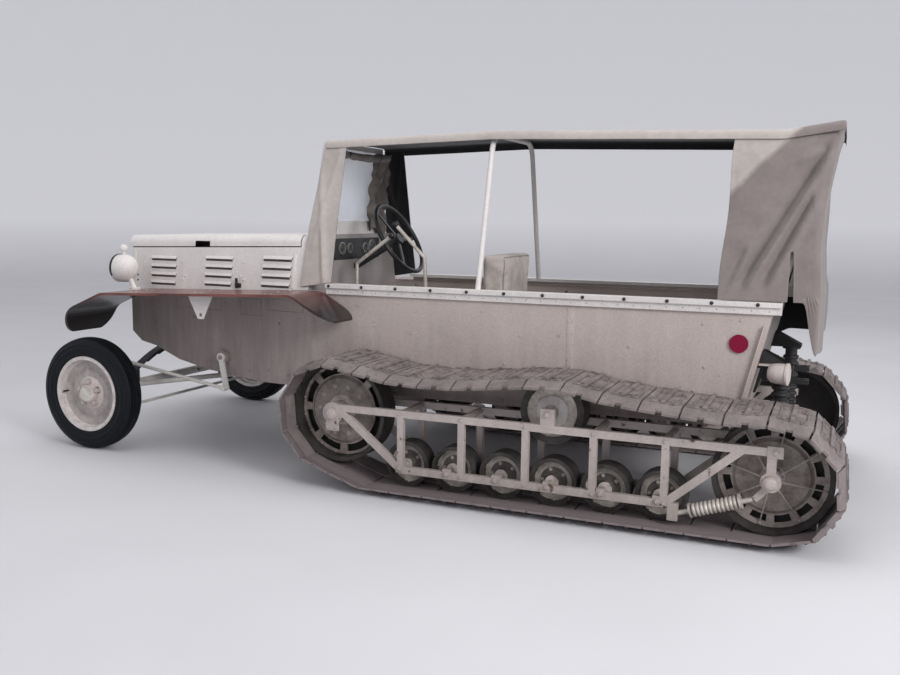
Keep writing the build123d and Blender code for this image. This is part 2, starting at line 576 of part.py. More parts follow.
# Seats: a box, a cushion and a back each.
def seat(spec, lean):
    back_x = spec["rear"] + 102
    foot = SEAT_BASE_Z + SEAT_GAP
    box = block(spec["rear"], spec["front"] - 84, 10 - spec["half"], spec["half"] - 10,
                FLOOR_Z + SHEET + SEAT_GAP, SEAT_BASE_Z)
    cushion = block(back_x + 3, spec["front"], -spec["half"], spec["half"], foot, SEAT_BASE_Z + CUSHION)
    back = side_prism([(spec["rear"] + 2, foot), (back_x - 4, foot), (back_x - 12 - lean, spec["back_top"]),
                       (spec["rear"] - 8 - lean, spec["back_top"] - 16)], -spec["half"], spec["half"])
    return box, [fillet(cushion.edges().filter_by(Axis.Z), 30), fillet(back.edges(), 18)]


driver_box, driver_seat = seat(DRIVER_SEAT, 0)
rear_box, rear_seat = seat(REAR_SEAT, 68)

# Steering column and wheel.
column_foot = (bulkhead_x - SEAT_GAP, 0, COLUMN_FOOT_Z)
column_dir = (Vector(*WHEEL_CENTRE) - Vector(*column_foot)).normalized()
wheel_plane = Plane(origin=WHEEL_CENTRE, z_dir=column_dir)
hub_foot = 21
column_top = Vector(*WHEEL_CENTRE) - column_dir * (hub_foot + SEAT_GAP)
steering_column = rod(column_foot, tuple(column_top), COLUMN_R)
steering_column -= block(bulkhead_x - SEAT_GAP, bulkhead_x + 100, -50, 50,
                         COLUMN_FOOT_Z - 50, COLUMN_FOOT_Z + 50)
steering_wheel = wheel_plane * (Torus(WHEEL_RIM_R, 10) + Pos(0, 0, -8) * Cylinder(24, 26))
for k in range(3):
    spoke = Pos(WHEEL_RIM_R / 2 + 5, 0, -6) * Box(WHEEL_RIM_R - 20, 16, 6)
    steering_wheel += wheel_plane * Rot(0, 0, 90 + 120 * k) * spoke

# Hand levers: each runs from the floor to a bend, then to its grip.
hand_levers = []
for foot_x, bend, grip in LEVERS:
    knee = (bend[0], LEVER_Y, SIDE_TOP_Z + bend[1])
    lever = (rod((foot_x, LEVER_Y, FLOOR_Z - 20), knee, LEVER_R) + Pos(*knee) * Sphere(LEVER_R)
             + rod(knee, (grip[0], LEVER_Y, SIDE_TOP_Z + grip[1]), LEVER_R))
    hand_levers.append(lever - block(-500, 500, 0, WIDTH / 2, 0, FLOOR_Z + SHEET + SEAT_GAP))

# Front axle: cross tube, kingpin bosses and two radius rods back to the belly.
axle_z = TYRE_R
front_axle = rod((FRONT_AXLE_X, -KINGPIN_Y, axle_z), (FRONT_AXLE_X, KINGPIN_Y, axle_z), AXLE_TUBE_R)
for s in (1, -1):
    front_axle += Pos(FRONT_AXLE_X, s * KINGPIN_Y, axle_z) * Cylinder(BOSS_R, 2 * BOSS_HALF)
for s in (1, -1):
    front_axle -= Pos(FRONT_AXLE_X, s * KINGPIN_Y, axle_z) * Cylinder(KINGPIN_R + PIN_GAP, 3 * BOSS_HALF)
rod_rear_z = floor_top(ROD_REAR_X) - SHEET - 48
rod_seat_z = floor_top(ROD_REAR_X - 20) - SHEET - SEAT_GAP
for s in (1, -1):
    rod_front = (FRONT_AXLE_X - 6, s * (KINGPIN_Y - 75), axle_z + 4)
    front_axle += rod(rod_front, (ROD_REAR_X, s * 130, rod_rear_z), 12)
    front_axle += block(ROD_REAR_X - 20, ROD_REAR_X + 20, s * 60 - 8, s * 60 + 8, rod_rear_z - 5, rod_seat_z)
front_axle += rod((ROD_REAR_X, -150, rod_rear_z), (ROD_REAR_X, 150, rod_rear_z), 16)

# Cross spring under the nose: four leaves, each shorter than the one above.
spring_x0 = FRONT_AXLE_X - 30 - SPRING["width"] / 2
spring_bow = SPRING["crown"] - SPRING["end"]
front_spring = None
for leaf, share in enumerate((1.0, 0.8, 0.6, 0.4)):
    top = SPRING["crown"] - leaf * SPRING["leaf"]
    reach = SPRING["half"] * share
    end = top - spring_bow * share * share
    arcs = [ThreePointArc((spring_x0, -reach, end - d), (spring_x0, 0, top - d), (spring_x0, reach, end - d))
            for d in (0, SPRING["leaf"])]
    ends = [Line((spring_x0, s * reach, end), (spring_x0, s * reach, end - SPRING["leaf"])) for s in (-1, 1)]
    plate = extrude(make_face(arcs + ends), amount=SPRING["width"], dir=(1, 0, 0))
    front_spring = plate if front_spring is None else front_spring + plate
shackle_y = SPRING["half"] - 8
for s in (1, -1):
    front_spring += block(spring_x0, spring_x0 + SPRING["width"], s * shackle_y - 8, s * shackle_y + 8,
                          axle_z + AXLE_TUBE_R - 6, SPRING["end"])
front_spring -= rod((FRONT_AXLE_X, -KINGPIN_Y, axle_z), (FRONT_AXLE_X, KINGPIN_Y, axle_z),
                    AXLE_TUBE_R + SEAT_GAP)
spring_x1 = spring_x0 + SPRING["width"]
pad_foot = SPRING["crown"] - 8
pad_stations = [spring_x0] + [x for x, _ in belly if spring_x0 < x < spring_x1] + [spring_x1]
front_spring += side_prism([(x, floor_top(x) - SHEET - SEAT_GAP) for x in pad_stations]
                           + [(spring_x1, pad_foot), (spring_x0, pad_foot)], -60, 60)


# Steering knuckles: two ears on a kingpin, a spindle and a rearward arm with a pin below.
def knuckle():
    ear_out = KINGPIN_Y + 45
    high = axle_z + BOSS_HALF + EAR_GAP
    low = axle_z - BOSS_HALF - EAR_GAP - EAR
    out = block(FRONT_AXLE_X - 22, FRONT_AXLE_X + 22, KINGPIN_Y + 25, ear_out, low, high + EAR)
    for z0 in (high, low):
        out += block(FRONT_AXLE_X - 22, FRONT_AXLE_X + 22, KINGPIN_Y, ear_out, z0, z0 + EAR)
        out += Pos(FRONT_AXLE_X, KINGPIN_Y, z0 + EAR / 2) * Cylinder(22, EAR)
    out += Pos(FRONT_AXLE_X, KINGPIN_Y, axle_z) * Cylinder(KINGPIN_R, 2 * (BOSS_HALF + EAR_GAP + EAR))
    out += Pos(FRONT_AXLE_X, KINGPIN_Y, high + EAR + 5) * Cylinder(20, 12)
    out += rod((FRONT_AXLE_X, ear_out - 2, axle_z), (FRONT_AXLE_X, HALF_TREAD + 34, axle_z), SPINDLE_R)
    pin_x = FRONT_AXLE_X - STEER_ARM
    arm = [(pin_x, KINGPIN_Y - 13), (FRONT_AXLE_X - 10, KINGPIN_Y - 22),
           (FRONT_AXLE_X - 10, KINGPIN_Y + 30), (pin_x, KINGPIN_Y + 13)]
    out += plan_prism(arm, low, low + EAR) + Pos(pin_x, KINGPIN_Y, low + EAR / 2) * Cylinder(15, EAR)
    return out + Pos(pin_x, KINGPIN_Y, low - TIE_EYE / 2 - 1) * Cylinder(TIE_PIN_R, TIE_EYE + 4)


knuckle_right = other_side(knuckle())
# The left one also carries the raised arm that the drag link pushes.
drag_arm_top = DRAG_ARM_Z + DRAG_ARM_PLATE
drag_y = KINGPIN_Y - DRAG_ARM
post = block(FRONT_AXLE_X - 12, FRONT_AXLE_X + 12, KINGPIN_Y - 16, KINGPIN_Y + 16,
             axle_z + BOSS_HALF + EAR_GAP + 2, drag_arm_top)
drag_arm = plan_prism([(FRONT_AXLE_X - 16, KINGPIN_Y), (FRONT_AXLE_X + 16, KINGPIN_Y),
                       (FRONT_AXLE_X + 13, drag_y), (FRONT_AXLE_X - 13, drag_y)], DRAG_ARM_Z, drag_arm_top)
drag_eye = Pos(FRONT_AXLE_X, drag_y, DRAG_ARM_Z + DRAG_ARM_PLATE / 2) * Cylinder(14, DRAG_ARM_PLATE)
knuckle_left = knuckle() + post + drag_arm + drag_eye

tie_x = FRONT_AXLE_X - STEER_ARM
tie_z = axle_z - BOSS_HALF - EAR_GAP - EAR - 1 - TIE_EYE / 2
tie_rod = rod((tie_x, 10 - KINGPIN_Y, tie_z), (tie_x, KINGPIN_Y - 10, tie_z), 7)
for s in (1, -1):
    tie_rod += Pos(tie_x, s * KINGPIN_Y, tie_z) * Cylinder(15, TIE_EYE)
for s in (1, -1):
    tie_rod -= Pos(tie_x, s * KINGPIN_Y, tie_z) * Cylinder(TIE_PIN_R + PIN_GAP, 3 * TIE_EYE)

# Pitman arm on its shaft at the tub side, and the drag link forward to the knuckle.
wall_y = half_width(PITMAN_X)
arm_y0 = wall_y + 24
arm_y1 = arm_y0 + 12
hull_side_left = hull_side + rod((PITMAN_X, wall_y - SHEET, PITMAN_Z), (PITMAN_X, arm_y0 - 2, PITMAN_Z), 30)
hull_side_left += rod((PITMAN_X, wall_y - SHEET, PITMAN_Z), (PITMAN_X, arm_y1 + 4, PITMAN_Z), PITMAN_SHAFT_R)
hull_side_right = other_side(hull_side)
arm_end = (PITMAN_X - PITMAN_RAKE, PITMAN_Z - PITMAN_DROP)
pitman_arm = bar((PITMAN_X, PITMAN_Z), arm_end, 24, arm_y0, arm_y1)
pitman_arm += rod((PITMAN_X, arm_y0, PITMAN_Z), (PITMAN_X, arm_y1, PITMAN_Z), 20)
pitman_arm += rod((arm_end[0], arm_y0, arm_end[1]), (arm_end[0], arm_y1, arm_end[1]), 14)
pitman_arm -= rod((PITMAN_X, arm_y0 - 5, PITMAN_Z), (PITMAN_X, arm_y1 + 5, PITMAN_Z),
                  PITMAN_SHAFT_R + PIN_GAP)
link_rear = (arm_end[0], arm_y1 + 14, arm_end[1])
link_front = (FRONT_AXLE_X, drag_y, DRAG_ARM_Z - 13)
drag_link = rod(link_rear, link_front, 8)
drag_link += rod((arm_end[0], arm_y1 + BALL_GAP, arm_end[1]), (arm_end[0], arm_y1 + 26, arm_end[1]), 13)
drag_link += Pos(*link_front[:2], DRAG_ARM_Z - BALL_GAP - 12) * Cylinder(12, 24)

# Front wheels: a dished disc rim on the spindle, and the tyre on it.
hub_in = KINGPIN_Y + 51 - HALF_TREAD
bore_end = 37
well = [(161, -14), (150, -10), (150, 10), (161, 14)]     # the drop centre that holds the tyre's foot
rim_profile = [(RIM_R, -RIM_HALF), (RIM_R, 5 - RIM_HALF), (161, 7 - RIM_HALF)] + well
rim_profile += [(161, RIM_HALF - 7), (RIM_R, RIM_HALF - 5), (RIM_R, RIM_HALF), (157, RIM_HALF), (155, 16)]
# The dished disc from the rim to the hub cap, the bore, and the disc's inner face.
rim_profile += [(145, 12), (128, 4, True), (106, 10), (92, 13, True), (78, 12), (60, 22), (44, 24), (40, 40),
                (36, 45, True), (26, 46), (0, 46), (0, bore_end), (SPINDLE_R + PIN_GAP, bore_end),
                (SPINDLE_R + PIN_GAP, hub_in), (36, hub_in), (36, 6), (60, 8), (78, 6), (106, 4), (128, -2),
                (143, 4), (144, -10), (155, -16), (157, -RIM_HALF)]
rim = Pos(FRONT_AXLE_X, HALF_TREAD, axle_z) * turned(rim_profile)
section = TYRE_R - RIM_R
half_tyre = TYRE_WIDTH / 2
tyre_half = [(RIM_R + 1, -RIM_HALF - 1), (RIM_R + section * 0.45, -half_tyre, True),
             (RIM_R + section * 0.9, 10 - half_tyre)]
tyre_profile = ([(161, 7.5 - RIM_HALF), (RIM_R, 5.5 - RIM_HALF)] + tyre_half + [(TYRE_R, 0, True)]
                + [(p[0], -p[1], *p[2:]) for p in reversed(tyre_half)]
                + [(RIM_R, RIM_HALF - 5.5), (161, RIM_HALF - 7.5)] + well[::-1])
tyre = Pos(FRONT_AXLE_X, HALF_TREAD, axle_z) * turned(tyre_profile)


# Fenders: a thin board curled down at both ends, rounded in plan.
def rounded(points, radius, parts=4):
    """A run of points with each corner replaced by points on an arc."""
    out = [points[0]]
    for a, b, c in zip(points, points[1:], points[2:]):
        start = atan2(b[1] - a[1], b[0] - a[0])
        turn = atan2(c[1] - b[1], c[0] - b[0]) - start
        side = 1 if turn > 0 else -1
        cut = radius * tan(abs(turn) / 2)
        cx = b[0] - cut * cos(start) - side * radius * sin(start)
        cz = b[1] - cut * sin(start) + side * radius * cos(start)
        for k in range(parts + 1):
            angle = start + turn * k / parts
            out.append((cx + side * radius * sin(angle), cz - side * radius * cos(angle)))
    return out + [points[-1]]


def ribbon(points, thickness):
    """Outline of a strip of equal thickness below a run of (x, z) points."""
    normals = []
    for (x0, z0), (x1, z1) in zip(points, points[1:]):
        run = hypot(x1 - x0, z1 - z0)
        normals.append((-(z1 - z0) / run, (x1 - x0) / run))
    lower = []
    for i, (x, z) in enumerate(points):
        a = normals[max(i - 1, 0)]
        b = normals[min(i, len(normals) - 1)]
        scale = thickness / (1 + a[0] * b[0] + a[1] * b[1])
        lower.append((x - (a[0] + b[0]) * scale, z - (a[1] + b[1]) * scale))
    return list(points) + list(reversed(lower))


def fender_top(x):
    """Height of the fender's upper face at a station on its long flat."""
    (x0, z0), (x1, z1) = FENDER_LINE[1], FENDER_LINE[2]
    return z0 + (z1 - z0) * (x - x0) / (x1 - x0)


def fender_low(x):
    return fender_top(x) - FENDER_T * 1.001


in_nose = half_width(NOSE_X) + FENDER_IN_GAP
in_rear = HULL_HALF + FENDER_IN_GAP
tip_x, tip_z = FENDER_LINE[-1]
bend_x = FENDER_LINE[2][0]
heel_x = FENDER_LINE[0][0] - FENDER_T
board = side_prism(ribbon(rounded(FENDER_LINE, FENDER_BEND_R), FENDER_T), NOSE_HALF - 40, TRACK_OUT)
fender_plan = rounded([(TAPER_X, in_rear), (heel_x, in_rear), (heel_x, FENDER_OUT_REAR),
                       (bend_x, FENDER_OUT_NOSE)], FENDER_END_R, 6)
fender_plan += [(tip_x + FENDER_T, FENDER_OUT_NOSE), (tip_x + FENDER_T, in_nose), (NOSE_X, in_nose)]
fender = board & plan_prism(fender_plan, FLOOR_Z, LID_TOP_COWL_Z)
# The front end hangs almost upright, so its two corners are rounded as seen from ahead.
round_z = tip_z - FENDER_T + FENDER_END_R
for y, s in ((FENDER_OUT_NOSE, 1), (in_nose, -1)):
    round_y = y - s * FENDER_END_R
    corner = block(bend_x, tip_x + 50, min(round_y, y + s * 50), max(round_y, y + s * 50), FLOOR_Z, round_z)
    fender -= corner - rod((bend_x - 10, round_y, round_z), (tip_x + 60, round_y, round_z), FENDER_END_R)
bracket_y = TRACK_OUT - 200
bracket_out = bracket_y + BRACKET["plate"]
bx, bracket_half = BRACKET["x"], BRACKET["half"]
bracket_foot = fender_low(bx) - BRACKET["drop"]
bracket = side_prism([(bx - bracket_half, fender_low(bx - bracket_half) - SEAT_GAP),
                      (bx + bracket_half, fender_low(bx + bracket_half) - SEAT_GAP),
                      (bx + BRACKET["foot"], bracket_foot), (bx - BRACKET["foot"], bracket_foot)],
                     bracket_y, bracket_out)
bracket_hole = bracket_foot + 18
bracket -= rod((bx, bracket_y - 5, bracket_hole), (bx, bracket_out + 5, bracket_hole), BRACKET["hole_r"])
bracket += block(bx - 20, bx + 20, half_width(bx - 20) + SEAT_GAP, bracket_out,
                 fender_low(bx + 20) - 8, fender_low(bx + 20) - SEAT_GAP)

# Headlamps on the fender boards, each with a marker lamp above.
lamp_at = (LAMP["x"], half_width(LAMP["x"]) + LAMP["side"], fender_top(LAMP["x"]) + LAMP["height"])
bowl = turned([(0, -62), (46, -46, True), (LAMP["r"], 4), (LAMP["r"], 30), (58, 32), (58, 20), (0, 20)],
              Axis.X)
stalk_x = lamp_at[0] - 60
lamp_foot = fender_top(stalk_x - 26) + SEAT_GAP
lamp = Pos(*lamp_at) * bowl
lamp += rod((stalk_x + 2, lamp_at[1], lamp_foot), (lamp_at[0] - 30, lamp_at[1], lamp_at[2] - 40), 12)
lamp = lamp - block(stalk_x - 40, lamp_at[0], lamp_at[1] - 50, lamp_at[1] + 50, lamp_foot - 100, lamp_foot)
lamp += Pos(stalk_x, lamp_at[1], lamp_foot + 5) * Cylinder(26, 10)
lamp += Pos(*lamp_at) * (Pos(0, 0, 72) * Cylinder(9, 26) + Pos(0, 0, 92) * Sphere(19))
lens_back = (lamp_at[0] + 20 + SEAT_GAP, *lamp_at[1:])
lens = rod(lens_back, (lens_back[0] + 10, *lamp_at[1:]), LAMP["lens_r"])


# Track: pitch points walked along the path round sprocket, return roller and idler.
def arc_points(cx, cz, radius, start, end, step=4):
    """Points on an arc, angles in degrees, measured from +X towards +Z."""
    count = max(2, ceil(abs(end - start) / step))
    return [(cx + radius * cos(radians(start + (end - start) * i / count)),
             cz + radius * sin(radians(start + (end - start) * i / count))) for i in range(count + 1)]


def tangent_angle(cx, cz, radius, x, z, side):
    """Angle in degrees, at the centre, of the tangent point of a line from an outer point."""
    return degrees(atan2(z - cz, x - cx) + side * acos(radius / hypot(x - cx, z - cz)))


belt_z = BELT_T + SHOE_T + GROUSER
seat_out = SEAT_GAP - BELT_T     # from a wheel's rim out to the pitch line of the belts
front = (SPROCKET["x"], SPROCKET["z"], hypot(SPROCKET["r"] + seat_out, SHOE_PITCH / 2))
rear = (REAR_BEND["x"], REAR_BEND["z"], hypot(REAR_BEND["r"], SHOE_PITCH / 2))
rise = (ROAD["front"] + SHOE_PITCH, belt_z)
roller_flat = ROLLER["z"] + ROLLER["r"] + seat_out
path = [(ROLLER["x"] + SHOE_PITCH / 2, roller_flat), (ROLLER["x"] - SHOE_PITCH / 2 - 8, roller_flat)]
path += list(RUN_BEHIND)
rear_end = 180 + degrees(asin((rear[1] - belt_z) / rear[2]))
path += arc_points(*rear, tangent_angle(*rear, *RUN_BEHIND[-1], 1), rear_end)
path.append(rise)
path += arc_points(*front, tangent_angle(*front, *rise, 1), tangent_angle(*front, *RUN_AHEAD[0], -1))
path += list(RUN_AHEAD)
path.append(path[0])
runs = [hypot(b[0] - a[0], b[1] - a[1]) for a, b in zip(path, path[1:])]
SHOES = round(sum(runs) / SHOE_PITCH)


def walk(count):
    """Equally spaced points along the closed path."""
    out = []
    i = 0
    passed = 0.0
    for k in range(count):
        target = k * sum(runs) / count
        while passed + runs[i] < target:
            passed += runs[i]
            i += 1
        share = (target - passed) / runs[i]
        out.append(tuple(a + (b - a) * share for a, b in zip(path[i], path[i + 1])))
    return out


def grown(points, distance):
    """A closed anticlockwise outline moved outwards, with square corners."""
    out = []
    for a, b, c in zip([points[-1]] + points, points, points[1:] + [points[0]]):
        n = []
        for p, q in ((a, b), (b, c)):
            run = hypot(q[0] - p[0], q[1] - p[1])
            n.append(((q[1] - p[1]) / run, -(q[0] - p[0]) / run))
        scale = distance / (1 + n[0][0] * n[1][0] + n[0][1] * n[1][1])
        out.append((b[0] + (n[0][0] + n[1][0]) * scale, b[1] + (n[0][1] + n[1][1]) * scale))
    return out


def lip_loft(points, drop):
    """A ring that draws in from the shoes' flat part to their bent outer edge."""
    faces = [make_face(Polyline([(x, y, z) for x, z in ring], close=True))
             for y, ring in ((TRACK_OUT - LIP["width"], points), (TRACK_OUT, grown(points, -drop)))]
    return loft(faces, ruled=True)


pitch_points = walk(SHOES)
plate_in = grown(pitch_points, BELT_T)
plate_out = grown(pitch_points, BELT_T + SHOE_T)
flat_out = TRACK_OUT - LIP["width"]
notch_in = TRACK_OUT - LIP["notch_depth"]
track = side_prism(plate_out, TRACK_IN, flat_out) + lip_loft(plate_out, LIP["drop"])
track = track - side_prism(plate_in, TRACK_IN - 1, flat_out) - lip_loft(plate_in, LIP["drop"])
for (x, z), (ox, oz) in zip(plate_in, plate_out):
    run = hypot(ox - x, oz - z)
    ux, uz = (ox - x) / run, (oz - z) / run
    deep = 3 + LIP["drop"]
    track -= bar((x - ux * deep, z - uz * deep), (ox + ux * 3, oz + uz * 3), SHOE_GAP,
                 TRACK_IN - 1, TRACK_OUT + 1)
for y0, y1 in BELTS:
    track += side_prism(plate_in, y0, y1) - side_prism(pitch_points, y0 - 1, y1 + 1)
for a, b in zip(plate_out, plate_out[1:] + plate_out[:1]):
    run = hypot(b[0] - a[0], b[1] - a[1])
    nx, nz = (b[1] - a[1]) / run, -(b[0] - a[0]) / run
    mx, mz = (a[0] + b[0]) / 2, (a[1] + b[1]) / 2
    top = (mx + nx * GROUSER, mz + nz * GROUSER)
    track += bar((mx - nx * 2, mz - nz * 2), top, GROUSER_WIDTH, TRACK_IN + 6, flat_out)
    track -= bar((mx - nx * 40, mz - nz * 40), (mx + nx * 2, mz + nz * 2), LIP["notch"],
                 notch_in, TRACK_OUT + 1)


# Wheels inside the tracks.
WHEEL_HUB_Y = FRAME_Y - FRAME_BAR / 2 - 12


def windowed_wheel(spec, hub_r, window_in, window_out, windows, arc):
    """A pressed disc wheel with a flat rim and a ring of windows of an arc in degrees."""
    y0, y1, r = spec["y0"], spec["y1"], spec["r"]
    mid = (y0 + y1) / 2
    web = r - 16
    dish = window_in - 12
    wheel = turned([(r, y0), (r, y1), (web, y1), (web, mid + 8), (window_in, mid + 8), (dish, mid + 20),
                    (hub_r, mid + 20), (hub_r, WHEEL_HUB_Y), (0, WHEEL_HUB_Y), (0, y0 - 6), (hub_r, y0 - 6),
                    (hub_r, mid + 10), (dish, mid + 10), (window_in, mid - 2), (web, mid - 2), (web, y0)])
    for k in range(windows):
        a = 360 / windows * (k + 0.5)
        wheel -= side_prism(arc_points(0, 0, window_in + 6, a - arc / 2, a + arc / 2, 12)
                            + arc_points(0, 0, window_out, a + arc / 2, a - arc / 2, 12), y0, y1)
    return Pos(spec["x"], 0, spec["z"]) * wheel


sprocket = windowed_wheel(SPROCKET, 40, 140, 176, 8, 34)
idler = windowed_wheel(IDLER, 34, 132, 164, 12, 20)
road_z = belt_z + seat_out + ROAD["r"]
road_count = 1 + int((ROAD["front"] - ROAD["rear"]) / (2 * ROAD["r"] + ROAD["apart"]))
road_x = spread(ROAD["front"], ROAD["rear"], road_count)
ry0, ry1 = ROAD["y0"], ROAD["y1"]
tread_in, disc_r = ROAD["r"] - 14, ROAD["r"] - 16
road_profile = [(ROAD["r"], ry0), (ROAD["r"], ry1), (tread_in, ry1 + 2), (disc_r, ry1 - 28), (30, ry1 - 22),
                (26, ry1 + 5), (0, ry1 + 5), (0, ry0 - 4), (26, ry0 - 4), (30, ry1 - 32), (disc_r, ry1 - 38),
                (tread_in, ry0)]
road_wheels = [Pos(x, 0, road_z) * turned(road_profile) for x in road_x]
ly0, ly1 = ROLLER["y0"], ROLLER["y1"]
roller_profile = [(ROLLER["r"], ly0), (ROLLER["r"], ly1), (96, ly1), (92, ly1 - 8), (70, ly1 - 12, True),
                  (40, ly1 - 14), (26, ly1 + 2), (0, ly1 + 2), (0, ly0 - 8), (26, ly0 - 8), (40, ly0 + 36),
                  (96, ly0 + 26), (96, ly0)]
roller = Pos(ROLLER["x"], 0, ROLLER["z"]) * turned(roller_profile)

# Track frames: an outer and an inner truss joined by cross tubes.
hub = (SPROCKET["x"], SPROCKET["z"])
pivot = (IDLER["x"], IDLER["z"])
uprights = spread(UPRIGHTS["front"], UPRIGHTS["rear"], UPRIGHTS["count"])
low_ends = ((UPRIGHTS["front"], FRAME_LOW_Z), (UPRIGHTS["rear"], FRAME_LOW_Z))
planes = [(y - FRAME_BAR / 2, y + FRAME_BAR / 2) for y in (FRAME_INNER_Y, FRAME_Y)]


def truss(y0, y1):
    """One side of a track frame: rails, uprights, end diagonals, hub and pivot plates."""
    out = bar((hub[0] - 20, FRAME_TOP_Z), (pivot[0] - 24, FRAME_TOP_Z), RAIL_BAR, y0, y1)
    for start, end, width in ((*low_ends, RAIL_BAR), ((hub[0] - 20, FRAME_TOP_Z), low_ends[0], RAIL_BAR),
                              (low_ends[1], (pivot[0] + 91, FRAME_TOP_Z), RAIL_BAR),
                              ((pivot[0], FRAME_TOP_Z), pivot, 30)):
        out += bar(start, end, width, y0, y1)
    for x in uprights:
        out += bar((x, FRAME_LOW_Z), (x, FRAME_TOP_Z), UPRIGHT_BAR, y0, y1)
    out += rod((hub[0], y0, hub[1]), (hub[0], y1, hub[1]), HUB_R)
    out += rod((pivot[0], y0, pivot[1]), (pivot[0], y1, pivot[1]), PIVOT_R)
    for x in road_x:
        out += block(x - 16, x + 16, y0, y1, road_z - 18, road_z + 18)
    return out + block(ROLLER["x"] - 26, ROLLER["x"] + 26, y0, y1, FRAME_TOP_Z, ROLLER["z"] + 20)


(inner0, inner1), (outer0, outer1) = planes
track_frame = truss(inner0, inner1) + truss(outer0, outer1)
for x in uprights:
    if abs(x - ROLLER["x"]) > ROLLER["r"] + CROSS_TUBE_R + 5:
        track_frame += rod((x, inner0, FRAME_TOP_Z), (x, outer1, FRAME_TOP_Z), CROSS_TUBE_R)
track_frame += rod((hub[0], outer1, hub[1]), (hub[0], outer1 + 16, hub[1]), 26)
track_frame += rod((pivot[0], outer1, pivot[1]), (pivot[0], outer1 + 22, pivot[1]), 24)
# Pins that carry the wheels: x, z, pin radius, inner end and outer end of the wheel's hub.
wheel_pins = [(x, road_z, WHEEL_PIN_R, ry0 - 4, ry1 + 5) for x in road_x]
wheel_pins.append((ROLLER["x"], ROLLER["z"], WHEEL_PIN_R, ly0 - 8, ly1 + 2))
wheel_pins += [(spec["x"], spec["z"], 20, spec["y0"] - 6, WHEEL_HUB_Y) for spec in (SPROCKET, IDLER)]
for x, z, r, hub_inner, hub_outer in wheel_pins:
    track_frame += rod((x, inner1 - 1, z), (x, hub_inner - SEAT_GAP, z), r)
    track_frame += rod((x, hub_outer + SEAT_GAP, z), (x, outer0 + 1, z), r)

# Tensioner: a rod with a wound spring between two cups, and its seat on the lower rail.
(tx0, tz0), (tx1, tz1) = TENSIONER["start"], TENSIONER["end"]
pull = hypot(tx1 - tx0, tz1 - tz0)
rod_r, coil_r, wind = TENSIONER["rod_r"], TENSIONER["coil_r"], TENSIONER["pitch"]
cup_r, lead = coil_r + TENSIONER["cup"], TENSIONER["lead"]
coil_start = lead + 10
coil_end = coil_start + TENSIONER["coils"] * wind
tension_profile = [(0, 0), (rod_r, 0), (rod_r, lead), (cup_r, lead), (cup_r, lead + 6), (rod_r, lead + 6),
                   (rod_r, coil_start)]
for k in range(TENSIONER["coils"]):
    start = coil_start + k * wind
    tension_profile += [(coil_r - 7, start + 1), (coil_r, start + wind / 2, True),
                        (coil_r - 7, start + wind - 1)]
rod_end = pull - TENSIONER["tail"]
tension_profile += [(rod_r, coil_end), (rod_r, coil_end + 4), (cup_r, coil_end + 4), (cup_r, coil_end + 12),
                    (rod_r, coil_end + 12), (rod_r, rod_end), (0, rod_end)]
tension_plane = Plane(origin=(tx0, FRAME_Y, tz0), x_dir=(0, 1, 0), z_dir=(tx1 - tx0, 0, tz1 - tz0))
tensioner = tension_plane * turned(tension_profile, Axis.Z)
track_frame += block(tx0 - 18, tx0 + 18, outer0, outer1, tz0 - 22, FRAME_LOW_Z + 6)
track_frame -= tension_plane * Pos(0, 0, 20) * Cylinder(rod_r + SEAT_GAP, 80)
lug = tuple(a + (b - a) * (pull - 19.5) / pull for a, b in zip(TENSIONER["start"], TENSIONER["end"]))
track_frame += bar(lug, (pivot[0], pivot[1] - 10), 22, outer0, outer1)

# Axles: the driven front one under the floor and the plain rear one behind the tail.
end_y = inner0 - SEAT_GAP
drive_axle = rod((hub[0], -end_y, hub[1]), (hub[0], end_y, hub[1]), DRIVE_TUBE_R)
drive_axle += Pos(hub[0], 0, hub[1]) * Sphere(DIFFERENTIAL_R)
for s in (-1, 1):
    y = s * (HULL_HALF - 135)
    drive_axle += block(hub[0] - 40, hub[0] + 40, y - 20, y + 20, hub[1], FLOOR_Z - SEAT_GAP)
rear_axle = rod((pivot[0], -end_y, pivot[1]), (pivot[0], end_y, pivot[1]), REAR_TUBE_R)

# Coil springs between the rear axle and shelves on the tail.
foot = pivot[1] + REAR_TUBE_R + SEAT_GAP
shelf, coil_r, wind = REAR_SPRING["shelf"], REAR_SPRING["r"], REAR_SPRING["pitch"]
turns = int((shelf - foot - 28) / wind)
coil_profile = [(0, foot), (coil_r, foot), (coil_r, foot + 14), (coil_r - 10, foot + 14)]
for k in range(turns):
    z = foot + 16 + k * wind
    coil_profile += [(coil_r - 10, z), (coil_r - 2, z + wind / 3, True), (coil_r - 10, z + wind * 2 / 3)]
coil_profile += [(coil_r - 10, shelf - 10), (coil_r + 2, shelf - 10), (coil_r + 2, shelf), (0, shelf)]
coil = turned(coil_profile, Axis.Z)
rear_springs = []
shelf_top, shelf_end = shelf + 60, REAR_SPRING["x"] - 40
for s in (1, -1):
    y = s * REAR_SPRING["y"]
    bracket_side = side_prism([(tail_x(shelf) - SEAT_GAP, shelf), (tail_x(shelf_top) - SEAT_GAP, shelf_top),
                               (tail_x(shelf_top) - 12, shelf_top), (shelf_end, shelf + 10),
                               (shelf_end, shelf)], y - 40, y + 40)
    rear_springs.append(Pos(REAR_SPRING["x"], y, 0) * coil + bracket_side)

